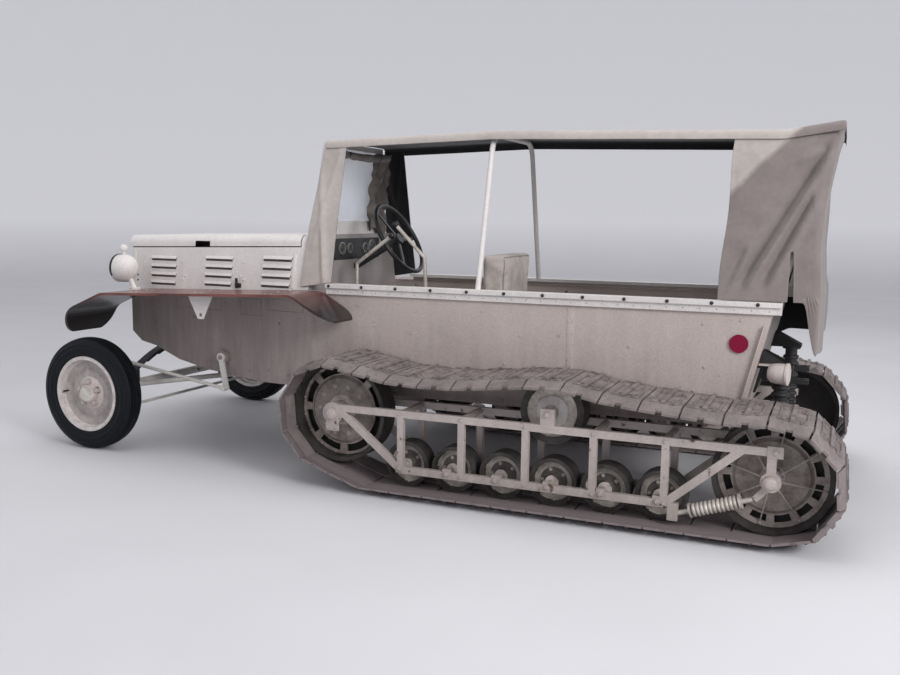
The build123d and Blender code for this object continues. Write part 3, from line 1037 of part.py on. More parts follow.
# Tow hitch: back plate, swivel barrel and a jaw with a vertical pin hole.
hz, plate = HITCH["z"], HITCH["plate_half"]
hx = tail_x(hz)
plate_low, plate_high = hz - HITCH["plate_drop"], hz + HITCH["plate_drop"]
tow_hitch = side_prism([(tail_x(plate_low) - SEAT_GAP, plate_low),
                        (tail_x(plate_high) - SEAT_GAP, plate_high),
                        (tail_x(plate_high) - 10, plate_high), (tail_x(plate_low) - 10, plate_low)],
                       -plate, plate)
tow_hitch += rod((hx - 9.2, 0, hz), (hx - 74, 0, hz), HITCH["barrel_r"])
jaw = HITCH["jaw"]
pin_x = hx - HITCH["reach"]
tow_hitch += block(pin_x - 28, hx - 70, -32, 32, hz - jaw, hz + jaw)
tow_hitch -= block(pin_x - 29, pin_x + 30, -40, 40, hz - HITCH["mouth"], hz + HITCH["mouth"])
tow_hitch -= Pos(pin_x, 0, hz) * Cylinder(HITCH["pin_r"], 3 * jaw)

reflector = rod((REFLECTOR["x"], HULL_HALF + SEAT_GAP, REFLECTOR["z"]),
                (REFLECTOR["x"], HULL_HALF + REFLECTOR["t"], REFLECTOR["z"]), REFLECTOR["r"])


def both(*shapes):
    """Pieces of the left side with their mirror images."""
    return [piece for shape in shapes for piece in (shape, other_side(shape))]


nodes = {
    "hull_floor": [hull_floor],
    "hull_side_left": [hull_side_left],
    "hull_side_right": [hull_side_right],
    "hull_nose": [hull_nose],
    "hull_tail": [hull_tail],
    "cowl": [cowl],
    "side_rails": both(side_rail),
    "hood_side_left": [hood_side],
    "hood_side_right": [other_side(hood_side)],
    "hood_lid": [hood_lid],
    "radiator": [radiator],
    "engine_block": [engine_block],
    "fender_left": [fender],
    "fender_right": [other_side(fender)],
    "fender_brackets": both(bracket),
    "headlamps": both(lamp),
    "headlamp_lenses": both(lens),
    "windscreen_frame": [windscreen_frame],
    "windscreen_glass": [windscreen_glass],
    "roof_bows": [mid_bow, rear_bow],
    "canvas_roof": [canvas_roof],
    "canvas_rear": [canvas_rear],
    "canvas_strips": both(strip),
    "seat_boxes": [driver_box, rear_box],
    "driver_seat": driver_seat,
    "rear_seat": rear_seat,
    "steering_column": [steering_column],
    "steering_wheel": [steering_wheel],
    "hand_levers": hand_levers,
    "front_axle": [front_axle],
    "front_spring": [front_spring],
    "knuckle_left": [knuckle_left],
    "knuckle_right": [knuckle_right],
    "rim_left": [rim],
    "rim_right": [other_side(rim)],
    "tyre_left": [tyre],
    "tyre_right": [other_side(tyre)],
    "tie_rod": [tie_rod],
    "pitman_arm": [pitman_arm],
    "drag_link": [drag_link],
    "track_left": [track],
    "track_right": [other_side(track)],
    "track_frame_left": [track_frame],
    "track_frame_right": [other_side(track_frame)],
    "sprockets": both(sprocket),
    "idlers": both(idler),
    "road_wheels": both(*road_wheels),
    "return_rollers": both(roller),
    "tensioners": both(tensioner),
    "drive_axle": [drive_axle],
    "rear_axle": [rear_axle],
    "rear_springs": rear_springs,
    "tow_hitch": [tow_hitch],
    "reflectors": both(reflector),
}

os.makedirs("parts", exist_ok=True)
for name, shapes in nodes.items():
    solids = [solid for shape in shapes for solid in shape.solids()]
    export_step(solids[0] if len(solids) == 1 else Compound(children=solids), f"parts/{name}.step")
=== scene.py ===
"""Half-track snow tractor: paint, canvas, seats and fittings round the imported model.

Laid out as an add-on and run as a script.  Metres.  X points forward, Y to the left, Z up.
"""
import math

import bmesh
import bpy
from mathutils import Matrix, Vector, noise
from mathutils.bvhtree import BVHTree


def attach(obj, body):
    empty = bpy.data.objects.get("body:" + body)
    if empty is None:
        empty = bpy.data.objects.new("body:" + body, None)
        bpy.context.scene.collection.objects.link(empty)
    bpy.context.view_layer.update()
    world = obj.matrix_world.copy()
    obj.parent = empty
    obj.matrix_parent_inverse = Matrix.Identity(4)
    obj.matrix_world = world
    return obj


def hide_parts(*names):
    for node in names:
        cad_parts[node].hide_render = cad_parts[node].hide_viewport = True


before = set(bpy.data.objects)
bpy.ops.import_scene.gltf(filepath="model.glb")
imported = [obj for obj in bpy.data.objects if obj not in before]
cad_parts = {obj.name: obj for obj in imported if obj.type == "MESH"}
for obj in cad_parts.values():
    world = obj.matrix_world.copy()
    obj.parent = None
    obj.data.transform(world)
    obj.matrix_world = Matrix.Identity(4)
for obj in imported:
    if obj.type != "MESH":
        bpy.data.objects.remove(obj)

bl_info = {
    "name": "Half-track snow tractor",
    "version": (1, 0, 0),
    "blender": (4, 5, 0),
    "location": "3D View > Sidebar > Snow Tractor",
    "description": "Paint, canvas, seats and fittings of a half-track snow tractor",
    "category": "Add Mesh",
}

HULL = "hull"
SIDES = (1, -1)

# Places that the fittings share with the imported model.
FRONT_AXLE = Vector((1.470, 0.0, 0.257))
HALF_TREAD = 0.641
TYRE_RADIUS = 0.257
TYRE_HALF = 0.0495
RIM_RADIUS = 0.173
HULL_HALF = 0.435
NOSE_HALF = 0.340
NOSE_X = 1.490
TAPER_X = 0.430
COWL_X = 0.505
FLOOR_Z = 0.332
SIDE_TOP = 0.757
NOSE_TOP = 0.712
RAIL_TOP = 0.788
RAIL_OUT = 0.022
TAIL_TOP_X = -1.452
TAIL_RAKE = 0.100
LEAN = 0.245
NOSE_LEAN = 0.05
SPROCKET = Vector((0.162, 0.0, 0.296))
IDLER = Vector((-1.491, 0.0, 0.217))
ROLLER = Vector((-0.724, 0.0, 0.374))
ROAD_FIRST = -0.134
ROAD_STEP = -0.198
ROAD_Z = 0.1063
FRAME_Y = 0.705
BAR_HALF = 0.010
# Rear and front end of each louvre group, and the height from row to row.
LOUVRE_RUNS = ((1.207, 1.365), (0.872, 1.032), (0.545, 0.703))
LOUVRE_PITCH = 0.038
LOUVRE_ROWS = 4
LOUVRE_LIP = 0.0605         # first painted shadow strip below the seam
SEAM_NOSE = 0.917
SEAM_RISE = 0.023
# Ends of the straight run of each fender board, as (x, z).
FENDER_REAR = (0.375, 0.757)
FENDER_FRONT = (1.388, 0.722)
FENDER_MIDDLE = 0.88


def half_width(x):
    """Outer half width of the tub at a station."""
    share = max(0.0, (x - TAPER_X) / (NOSE_X - TAPER_X))
    return HULL_HALF + (NOSE_HALF - HULL_HALF) * share


def side_top(x):
    """Height of the tub's upper edge at a station ahead of the seats."""
    return SIDE_TOP + (NOSE_TOP - SIDE_TOP) * (x - TAPER_X) / (NOSE_X - TAPER_X)


def hood_half(x, z):
    """Outer half width of the bonnet side at a station and height, with its slight bulge midway."""
    share = (x - TAPER_X) / (NOSE_X - TAPER_X)
    lean = LEAN + (NOSE_LEAN - LEAN) * share
    bulge = 0.0060 * share * (1 - share)
    return half_width(x) - 0.0046 + bulge - lean * (z - side_top(x))


def seam_z(x):
    """Height of the seam between the bonnet side and its lid at a station."""
    return SEAM_NOSE + SEAM_RISE * (NOSE_X - x) / (NOSE_X - COWL_X)


def lean_y(z):
    """Half width of the canvas side planes at a height."""
    return HULL_HALF - LEAN * (z - SIDE_TOP)


def tail_x(z):
    """Station of the sloping tail panel at a height."""
    return TAIL_TOP_X + (SIDE_TOP - z) * TAIL_RAKE / (SIDE_TOP - FLOOR_Z)


# Colours that several finishes share.
RUST = (0.10, 0.052, 0.032, 1)
RUST_STAIN = (0.12, 0.06, 0.035, 1)
BRIGHT_WIRE = (0.66, 0.61, 0.55)
TYRE_BLACK = (0.0045, 0.0055, 0.0075)
WHEEL_DARK = (0.055, 0.048, 0.045)


# Materials.
def start_material(name, **sockets):
    """A new material and its shader, with the sockets that are the same all over."""
    material = bpy.data.materials.new(name)
    material.use_nodes = True
    shader = material.node_tree.nodes["Principled BSDF"]
    for socket, value in sockets.items():
        shader.inputs[socket.replace("_", " ")].default_value = value
    return material, material.node_tree, shader


def feed(tree, socket, value):
    """Links a socket to another node's output, or gives it a value."""
    if isinstance(value, bpy.types.NodeSocket):
        tree.links.new(value, socket)
    else:
        socket.default_value = value


def add(tree, kind, inputs=None, **settings):
    """One node, its settings and its inputs, which are values or other nodes' outputs."""
    made = tree.nodes.new(kind)
    for key, value in settings.items():
        setattr(made, key, value)
    for key, value in (inputs or {}).items():
        feed(tree, made.inputs[key], value)
    return made


def place(tree, scale=(1, 1, 1), output="Object"):
    """Coordinates on the object or its UV map, scaled."""
    source = add(tree, "ShaderNodeTexCoord").outputs[output]
    return add(tree, "ShaderNodeMapping", {"Vector": source, "Scale": scale}).outputs[0]


def speckle(tree, vector, scale, detail=4.0, roughness=0.6):
    """Noise between 0 and 1."""
    inputs = {"Vector": vector, "Scale": scale, "Detail": detail, "Roughness": roughness}
    return add(tree, "ShaderNodeTexNoise", inputs).outputs["Fac"]


def ramp(tree, factor, low, high):
    """Black to white while the factor goes from low to high."""
    made = add(tree, "ShaderNodeValToRGB", {"Fac": factor})
    made.color_ramp.elements[0].position = low
    made.color_ramp.elements[1].position = high
    return made.outputs["Color"]


def mixed(tree, factor, a, b, blend_type="MIX"):
    """Colour a, going over to b with the factor."""
    made = add(tree, "ShaderNodeMix", data_type="RGBA", blend_type=blend_type)
    feed(tree, made.inputs[0], factor)
    feed(tree, made.inputs[6], a)
    feed(tree, made.inputs[7], b)
    return made.outputs[2]


def maths(tree, operation, a, b=0.0, c=0.0):
    """One sum, product or comparison of up to three values."""
    made = add(tree, "ShaderNodeMath", operation=operation)
    for socket, value in zip(made.inputs, (a, b, c)):
        feed(tree, socket, value)
    return made.outputs[0]


def parts_of(tree, vector):
    """The X, Y and Z of a vector, as a node's outputs."""
    return add(tree, "ShaderNodeSeparateXYZ", {"Vector": vector}).outputs


def rgba(colour, factor=1.0):
    """A colour times a factor, with its alpha."""
    return (colour[0] * factor, colour[1] * factor, colour[2] * factor, 1.0)


def tinted(tree, colour, tint):
    """A colour multiplied by a tint."""
    return mixed(tree, 1.0, colour, rgba(tint), "MULTIPLY")


def waves(tree, vector, direction, **inputs):
    """Bands across one axis, between 0 and 1."""
    named = {key.replace("_", " "): value for key, value in inputs.items()}
    made = add(tree, "ShaderNodeTexWave", {"Vector": vector, **named}, bands_direction=direction)
    return made.outputs["Fac"]


def span(tree, value, low, high, at_low=0.0, at_high=1.0):
    """A value mapped from low and high to at_low and at_high."""
    inputs = {"Value": value, "From Min": low, "From Max": high, "To Min": at_low, "To Max": at_high}
    return add(tree, "ShaderNodeMapRange", inputs).outputs[0]


def roughen(tree, shader, height, strength, distance, dull=None, low=0.5, high=0.8):
    """Bump from a height, and roughness between two values from another factor."""
    bump = add(tree, "ShaderNodeBump", {"Height": height, "Strength": strength, "Distance": distance})
    tree.links.new(bump.outputs[0], shader.inputs["Normal"])
    if dull is not None:
        tree.links.new(span(tree, dull, 0.0, 1.0, low, high), shader.inputs["Roughness"])


def worn_paint(name, colour, grime, foot=0.3, head=0.8, dirt=0.5, rust=0.62, nose=0.0, back=0.0):
    """Old brushed paint: faded patches, specks of rust, grime that thickens downwards, and, by the shares
    given in the last two arguments, painted shade towards the front and on faces that look backwards."""
    material, tree, shader = start_material(name, Metallic=0.0)
    at = place(tree)
    split = parts_of(tree, at)
    patches = speckle(tree, at, 3.2, 5.0, 0.62)
    colour_out = mixed(tree, ramp(tree, patches, 0.35, 0.68), rgba(colour), rgba(colour, 0.86))
    streaks = speckle(tree, place(tree, (9, 9, 1.1)), 3.0, 4.0, 0.6)
    low = span(tree, split["Z"], foot, head, 1.0, 0.0)
    grime_here = maths(tree, "MULTIPLY", low, maths(tree, "MULTIPLY_ADD", streaks, 1.1, dirt - 0.35))
    colour_out = mixed(tree, maths(tree, "MINIMUM", grime_here, 0.85), colour_out, rgba(grime))
    # Painted shade: darker towards the front, from half the grime colour.
    if nose:
        ahead = span(tree, split["X"], 0.20, 0.72, 0.0, nose)
        uneven = maths(tree, "MULTIPLY", ahead, maths(tree, "MULTIPLY_ADD", streaks, 0.7, 0.65))
        colour_out = mixed(tree, uneven, colour_out, rgba(grime, 0.5))
    # Painted shade on faces that look backwards, from half the grime colour.
    if back:
        normal = add(tree, "ShaderNodeNewGeometry").outputs["Normal"]
        looks_back = maths(tree, "LESS_THAN", parts_of(tree, normal)["X"], -0.6)
        colour_out = mixed(tree, maths(tree, "MULTIPLY", looks_back, back), colour_out, rgba(grime, 0.5))
    grain = ramp(tree, speckle(tree, at, 160.0, 3.0, 0.75), 0.36, 0.64)
    colour_out = mixed(tree, grain, tinted(tree, colour_out, (0.84, 0.83, 0.82)), colour_out)
    specks = speckle(tree, at, 23.0, 6.0, 0.55)
    colour_out = mixed(tree, ramp(tree, specks, rust + 0.06, rust + 0.12), colour_out, RUST)
    tree.links.new(colour_out, shader.inputs["Base Color"])
    roughen(tree, shader, speckle(tree, at, 55.0, 5.0, 0.6), 0.22, 0.0012, patches, 0.42, 0.72)
    return material


def varnished_board(name, colour):
    """Plywood under thick reddish varnish, with its grain along X, scuffs, and painted shade darkening both
    ends.
    """
    material, tree, shader = start_material(name, Coat_Weight=0.35, Coat_Roughness=0.12)
    at = place(tree, (1.6, 22, 3))
    warp = speckle(tree, at, 1.4, 6.0, 0.6)
    grain = waves(tree, at, "Y", Scale=1.9, Distortion=9.0, Detail=4.0)
    colour_out = mixed(tree, ramp(tree, grain, 0.2, 0.85), rgba(colour), rgba(colour, 0.42))
    colour_out = mixed(tree, ramp(tree, warp, 0.4, 0.7), colour_out, rgba((0.21, 0.070, 0.052)))
    scuffs = speckle(tree, place(tree, (3, 30, 30)), 6.0, 8.0, 0.7)
    colour_out = mixed(tree, ramp(tree, scuffs, 0.66, 0.74), colour_out, rgba((0.28, 0.16, 0.12)))
    # Painted shade: both ends of the board darken away from its middle.
    station = parts_of(tree, place(tree))["X"]
    off_middle = maths(tree, "ABSOLUTE", maths(tree, "SUBTRACT", station, FENDER_MIDDLE))
    off_middle = maths(tree, "MULTIPLY_ADD", warp, 0.10, off_middle)
    darkened = tinted(tree, colour_out, (0.05, 0.06, 0.10))
    colour_out = mixed(tree, ramp(tree, off_middle, 0.49, 0.68), colour_out, darkened)
    tree.links.new(colour_out, shader.inputs["Base Color"])
    roughen(tree, shader, grain, 0.12, 0.0006, warp, 0.28, 0.5)
    return material


def woven_canvas(name, colour, shade, thread=0.0022):
    """Proofed canvas: crossing threads on the sheet's own UV map with painted shade in the hollows between
    them, stains, and a painted shadow over the part behind a line that slants down from the rear of the
    top."""
    material, tree, shader = start_material(name, Sheen_Weight=0.25, Sheen_Roughness=0.5)
    uv = place(tree, output="UV")
    weave = {"Scale": 0.31416 / thread, "Distortion": 0.6, "Detail": 1.0, "Detail_Scale": 0.4}
    threads = maths(tree, "MAXIMUM", waves(tree, uv, "X", **weave), waves(tree, uv, "Y", **weave))
    at = place(tree)
    split = parts_of(tree, at)
    stain = speckle(tree, at, 4.5, 6.0, 0.62)
    fine = speckle(tree, at, 42.0, 4.0, 0.7)
    colour_out = mixed(tree, ramp(tree, stain, 0.3, 0.72), rgba(colour), rgba(shade))
    dulled = tinted(tree, colour_out, (0.86, 0.85, 0.84))
    colour_out = mixed(tree, ramp(tree, fine, 0.3, 0.7), colour_out, dulled)
    # Painted shade in the hollows between the threads.
    hollow_shade = tinted(tree, colour_out, (0.72, 0.71, 0.70))
    colour_out = mixed(tree, ramp(tree, threads, 0.1, 0.6), hollow_shade, colour_out)
    # Painted shadow: darker behind a line that slants down from the rear of the top.
    behind = maths(tree, "MULTIPLY_ADD", split["Z"], -0.688, -0.117)
    behind = maths(tree, "MULTIPLY_ADD", split["X"], -0.726, behind)
    behind = maths(tree, "MULTIPLY_ADD", stain, 0.03, behind)
    painted_shadow = tinted(tree, colour_out, (0.47, 0.44, 0.455))
    colour_out = mixed(tree, ramp(tree, behind, 0.010, 0.030), colour_out, painted_shadow)
    tree.links.new(colour_out, shader.inputs["Base Color"])
    height = maths(tree, "MULTIPLY_ADD", fine, 0.5, threads)
    roughen(tree, shader, height, 0.5, 0.0006, stain, 0.78, 0.95)
    return material


def coated_cloth(name, colour, crease):
    """Seat cover: a fine pebble grain with painted shade between the pebbles, and dulled, dirty creases."""
    material, tree, shader = start_material(name, Sheen_Weight=0.1)
    at = place(tree)
    pebble = add(tree, "ShaderNodeTexVoronoi", {"Vector": at, "Scale": 320.0}).outputs["Distance"]
    worn = speckle(tree, at, 9.0, 6.0, 0.65)
    colour_out = mixed(tree, ramp(tree, worn, 0.35, 0.7), rgba(colour), rgba(crease))
    # Painted shade between the pebbles.
    hollow_shade = tinted(tree, colour_out, (0.8, 0.79, 0.78))
    colour_out = mixed(tree, ramp(tree, pebble, 0.0, 0.6), colour_out, hollow_shade)
    tree.links.new(colour_out, shader.inputs["Base Color"])
    roughen(tree, shader, pebble, 0.35, 0.0008, worn, 0.5, 0.75)
    return material


def moulded_rubber(name, colour):
    """Black rubber, greyed by dust, with a fine moulded grain."""
    material, tree, shader = start_material(name, Specular_IOR_Level=0.18)
    at = place(tree)
    dust = speckle(tree, at, 14.0, 6.0, 0.7)
    colour_out = mixed(tree, ramp(tree, dust, 0.42, 0.78), rgba(colour), rgba(colour, 2.2))
    tree.links.new(colour_out, shader.inputs["Base Color"])
    roughen(tree, shader, speckle(tree, at, 210.0, 3.0, 0.7), 0.3, 0.0008, dust, 0.42, 0.7)
    return material


def plain_metal(name, colour, metallic, low, high):
    """Bare or blackened metal with handling marks and a little rust in the grain."""
    material, tree, shader = start_material(name, Metallic=metallic)
    at = place(tree)
    marks = speckle(tree, at, 30.0, 8.0, 0.7)
    colour_out = mixed(tree, ramp(tree, marks, 0.35, 0.7), rgba(colour), rgba(colour, 0.55))
    stains = speckle(tree, at, 75.0, 6.0, 0.6)
    colour_out = mixed(tree, ramp(tree, stains, 0.66, 0.76), colour_out, RUST_STAIN)
    tree.links.new(colour_out, shader.inputs["Base Color"])
    roughen(tree, shader, marks, 0.25, 0.0008, marks, low, high)
    return material


def ringed(name, centre, rings, repeat=0.0, grime=(0.36, 0.33, 0.31)):
    """Wheel finish by distance from an axle: rings are (outer radius, colour) from the hub out.
    With a repeat, the same wheel stands again at each step backwards."""
    material, tree, shader = start_material(name)
    at = place(tree)
    split = parts_of(tree, at)
    dx = maths(tree, "SUBTRACT", split["X"], centre.x)
    if repeat:
        dx = maths(tree, "WRAP", dx, repeat / 2, -repeat / 2)
    dz = maths(tree, "SUBTRACT", split["Z"], centre.z)
    squares = maths(tree, "ADD", maths(tree, "MULTIPLY", dx, dx), maths(tree, "MULTIPLY", dz, dz))
    dirt = speckle(tree, at, 26.0, 6.0, 0.68)
    reach = maths(tree, "MULTIPLY_ADD", dirt, 0.004, maths(tree, "SQRT", squares))
    colour_out = rgba(rings[0][1])
    for (edge, _), (_, colour) in zip(rings, rings[1:]):
        beyond = maths(tree, "GREATER_THAN", reach, edge + 0.002)
        colour_out = mixed(tree, beyond, colour_out, rgba(colour))
    grimy = tinted(tree, colour_out, grime)
    colour_out = mixed(tree, ramp(tree, dirt, 0.40, 0.74), colour_out, grimy)
    tree.links.new(colour_out, shader.inputs["Base Color"])
    roughen(tree, shader, speckle(tree, at, 90.0, 5.0, 0.7), 0.3, 0.001, dirt, 0.5, 0.85)
    return material


def track_steel(name, colour, mud_and_shade_colour):
    """Painted pressed shoes: cleaner bent lips, paint rubbed off the flats, and on the ground run a
    darkening that is dirt and painted shade.
    """
    material, tree, shader = start_material(name)
    at = place(tree)
    split = parts_of(tree, at)
    patches = speckle(tree, at, 11.0, 7.0, 0.7)
    fine = speckle(tree, at, 70.0, 6.0, 0.75)
    edge = maths(tree, "MULTIPLY_ADD", patches, 0.030, maths(tree, "ABSOLUTE", split["Y"]))
    worn = mixed(tree, ramp(tree, patches, 0.38, 0.62), rgba(colour, 0.70), rgba(colour, 0.34))
    lip = mixed(tree, ramp(tree, patches, 0.36, 0.66), rgba(colour, 0.64), rgba(colour, 0.36))
    colour_out = mixed(tree, ramp(tree, edge, 0.742, 0.756), worn, lip)
    colour_out = mixed(tree, ramp(tree, fine, 0.54, 0.70), colour_out, rgba((0.085, 0.070, 0.064)))
    # Darker towards the ground run: mud, and painted shade under the tractor.
    low = span(tree, split["Z"], 0.03, 0.42, 1.0, 0.0)
    mud_and_shade = maths(tree, "MULTIPLY", low, maths(tree, "MULTIPLY_ADD", patches, 0.9, 0.45))
    colour_out = mixed(tree, maths(tree, "MINIMUM", mud_and_shade, 0.92), colour_out, rgba(mud_and_shade_colour))
    tree.links.new(colour_out, shader.inputs["Base Color"])
    roughen(tree, shader, maths(tree, "ADD", patches, fine), 0.45, 0.002, fine, 0.5, 0.85)
    return material


def clear_pane(name, tint, alpha, flutes=0.0):
    """Old glass: a faint tint and smears, ribbed where it is a lens."""
    material, tree, shader = start_material(name, Alpha=alpha, Specular_IOR_Level=0.7)
    at = place(tree)
    smear = speckle(tree, at, 5.0, 4.0, 0.6)
    colour_out = mixed(tree, ramp(tree, smear, 0.3, 0.8), rgba(tint), rgba(tint, 0.86))
    tree.links.new(colour_out, shader.inputs["Base Color"])
    height = waves(tree, at, "Y", Scale=flutes) if flutes else smear
    roughen(tree, shader, height, 0.4 if flutes else 0.02, 0.001, smear, 0.06, 0.2)
    return material


def prismatic_red(name, colour):
    """Reflector glass with a small diamond pattern."""
    material, tree, shader = start_material(name, Coat_Weight=0.15, Coat_Roughness=0.1, Roughness=0.5,
                                            Specular_IOR_Level=0.2)
    cells = add(tree, "ShaderNodeTexVoronoi", {"Vector": place(tree), "Scale": 210.0, "Randomness": 0.0})
    depth = cells.outputs["Distance"]
    colour_out = mixed(tree, ramp(tree, depth, 0.1, 0.7), rgba(colour), rgba(colour, 0.5))
    tree.links.new(colour_out, shader.inputs["Base Color"])
    roughen(tree, shader, depth, 0.6, 0.001)
    return material


def dial_face(name, colour, marks):
    """Gauge face: pale ticks near the rim of a dark disc and a needle, on the disc's own UV map."""
    material, tree, shader = start_material(name, Roughness=0.35)
    at = place(tree, output="UV")
    split = parts_of(tree, at)
    angle = maths(tree, "ARCTAN2", split["Y"], split["X"])
    reach = add(tree, "ShaderNodeVectorMath", {0: at}, operation="LENGTH").outputs["Value"]
    tick = maths(tree, "GREATER_THAN", maths(tree, "COSINE", maths(tree, "MULTIPLY", angle, 24.0)), 0.86)
    outside = maths(tree, "GREATER_THAN", reach, 0.72)
    band = maths(tree, "MULTIPLY", outside, maths(tree, "LESS_THAN", reach, 0.9))
    off_needle = maths(tree, "ABSOLUTE", maths(tree, "SUBTRACT", angle, 2.2))
    on_needle = maths(tree, "LESS_THAN", off_needle, 0.07)
    needle = maths(tree, "MULTIPLY", on_needle, maths(tree, "LESS_THAN", reach, 0.68))
    drawn = maths(tree, "MAXIMUM", maths(tree, "MULTIPLY", tick, band), needle)
    tree.links.new(mixed(tree, drawn, rgba(colour), rgba(marks)), shader.inputs["Base Color"])
    return material


def studio_floor(name):
    """Pale matt floor with a faint mottle, paler where it turns up into the backdrop."""
    material, tree, shader = start_material(name, Roughness=0.9)
    at = place(tree)
    mottle = ramp(tree, speckle(tree, at, 1.5, 4.0, 0.5), 0.3, 0.7)
    pale = mixed(tree, mottle, (0.60, 0.60, 0.62, 1), (0.63, 0.63, 0.65, 1))
    upward = ramp(tree, parts_of(tree, at)["Z"], 0.0, 1.0)
    colour_out = mixed(tree, upward, pale, (0.92, 0.92, 0.94, 1))
    tree.links.new(colour_out, shader.inputs["Base Color"])
    return material


SHARP_ANGLE = math.radians(38)


# Mesh helpers.
def finished(name, mesh_edit, material, body=HULL, smooth=True, recalculate=True):
    """Turns a bmesh into an object that rides on a body."""
    if recalculate:
        bmesh.ops.recalc_face_normals(mesh_edit, faces=mesh_edit.faces[:])
    mesh = bpy.data.meshes.new(name)
    mesh_edit.to_mesh(mesh)
    mesh_edit.free()
    for finish in material if isinstance(material, tuple) else (material,):
        mesh.materials.append(finish)
    if smooth:
        mesh.shade_smooth()
        mesh.set_sharp_from_angle(angle=SHARP_ANGLE)
    made = bpy.data.objects.new(name, mesh)
    bpy.context.collection.objects.link(made)
    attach(made, body)
    return made


def facing(at, direction):
    """A matrix that puts local Z along a direction at a place."""
    turn = Vector(direction).to_track_quat("Z", "Y").to_matrix().to_4x4()
    return Matrix.Translation(Vector(at)) @ turn


def peg(mesh_edit, turn, foot, head, low, high, sides):
    """A closed cone from radius foot at height low to radius head at height high."""
    middle = turn @ Matrix.Translation((0, 0, (low + high) / 2))
    bmesh.ops.create_cone(mesh_edit, cap_ends=True, segments=sides, radius1=foot, radius2=head,
                          depth=high - low, matrix=middle)


def bolt(mesh_edit, at, direction, radius, height, sides=6):
    """A bolt head with a chamfered crown on a thin washer, its foot sunk a little into the plate."""
    turn = facing(at, direction)
    peg(mesh_edit, turn, radius * 1.45, radius * 1.4, -0.0008, height * 0.3, 12)
    peg(mesh_edit, turn, radius, radius, height * 0.225, height * 0.775, sides)
    peg(mesh_edit, turn, radius, radius * 0.72, height * 0.77, height * 1.01, sides)


def rivet(mesh_edit, at, direction, radius, height):
    """A low domed head of two rings."""
    turn = facing(at, direction)
    peg(mesh_edit, turn, radius, radius * 0.82, height * -0.2, height * 0.5, 10)
    peg(mesh_edit, turn, radius * 0.82, radius * 0.38, height * 0.5, height, 10)


def circle(centre, radius, count, y, start=0.0):
    """Evenly spaced places round an axle, at a distance y from the middle plane."""
    for k in range(count):
        turn = start + math.tau * k / count
        yield Vector((centre.x + radius * math.cos(turn), y, centre.z + radius * math.sin(turn)))


def shifted(centre, y):
    """An axle's centre, moved to a distance from the middle plane."""
    return Vector((centre.x, y, centre.z))


def plate(mesh_edit, centre, size, turn=Matrix.Identity(3), bevel=0.0015):
    """A flat bar or pad with rounded edges."""
    made = bmesh.ops.create_cube(mesh_edit, size=1.0, matrix=Matrix.Diagonal((*size, 1.0)))
    edges = list({edge for vert in made["verts"] for edge in vert.link_edges})
    width = min(bevel, min(size) * 0.45)
    rounded = bmesh.ops.bevel(mesh_edit, geom=edges, offset=width, offset_type="OFFSET", affect="EDGES",
                              segments=2, profile=0.5, material=-1)
    verts = list({vert for face in rounded["faces"] for vert in face.verts})
    bmesh.ops.transform(mesh_edit, matrix=Matrix.Translation(Vector(centre)) @ turn.to_4x4(), verts=verts)


def lathe(mesh_edit, profile, at, direction, steps=48):
    """Spins (radius, height) points about an axis."""
    before = set(mesh_edit.verts)
    points = [mesh_edit.verts.new((radius, 0.0, height)) for radius, height in profile]
    edges = [mesh_edit.edges.new(pair) for pair in zip(points, points[1:])]
    bmesh.ops.spin(mesh_edit, geom=points + edges, axis=(0, 0, 1), cent=(0, 0, 0), angle=math.tau,
                   steps=steps, use_merge=True, use_duplicate=False)
    made = [vert for vert in mesh_edit.verts if vert not in before]
    bmesh.ops.remove_doubles(mesh_edit, verts=made, dist=1e-5)
    made = [vert for vert in mesh_edit.verts if vert not in before]
    bmesh.ops.transform(mesh_edit, matrix=facing(at, direction), verts=made)


def dome(mesh_edit, hub, side, radius):
    """A hub cap: a ball pressed flat along the axle."""
    cap = bmesh.ops.create_uvsphere(mesh_edit, u_segments=20, v_segments=10, radius=radius,
                                    matrix=facing(hub, (0, side, 0)))
    for vert in cap["verts"]:
        vert.co.y = hub.y + (vert.co.y - hub.y) * 0.35


def tube(name, points, radius, material, body=HULL, steps=8):
    """A bent rod through points, as a mesh, with closed ends."""
    curve = bpy.data.curves.new(name, "CURVE")
    curve.dimensions = "3D"
    curve.bevel_depth = radius
    curve.bevel_resolution = 3
    curve.resolution_u = steps
    curve.use_fill_caps = True
    spline = curve.splines.new("NURBS")
    spline.points.add(len(points) - 1)
    for point, at in zip(spline.points, points):
        point.co = (*at, 1.0)
    spline.order_u = 3
    spline.use_endpoint_u = True
    holder = bpy.data.objects.new(f"{name}_path", curve)
    bpy.context.collection.objects.link(holder)
    mesh = bpy.data.meshes.new_from_object(holder)
    bpy.data.objects.remove(holder)
    mesh_edit = bmesh.new()
    mesh_edit.from_mesh(mesh)
    bpy.data.meshes.remove(mesh)
    return finished(name, mesh_edit, material, body)


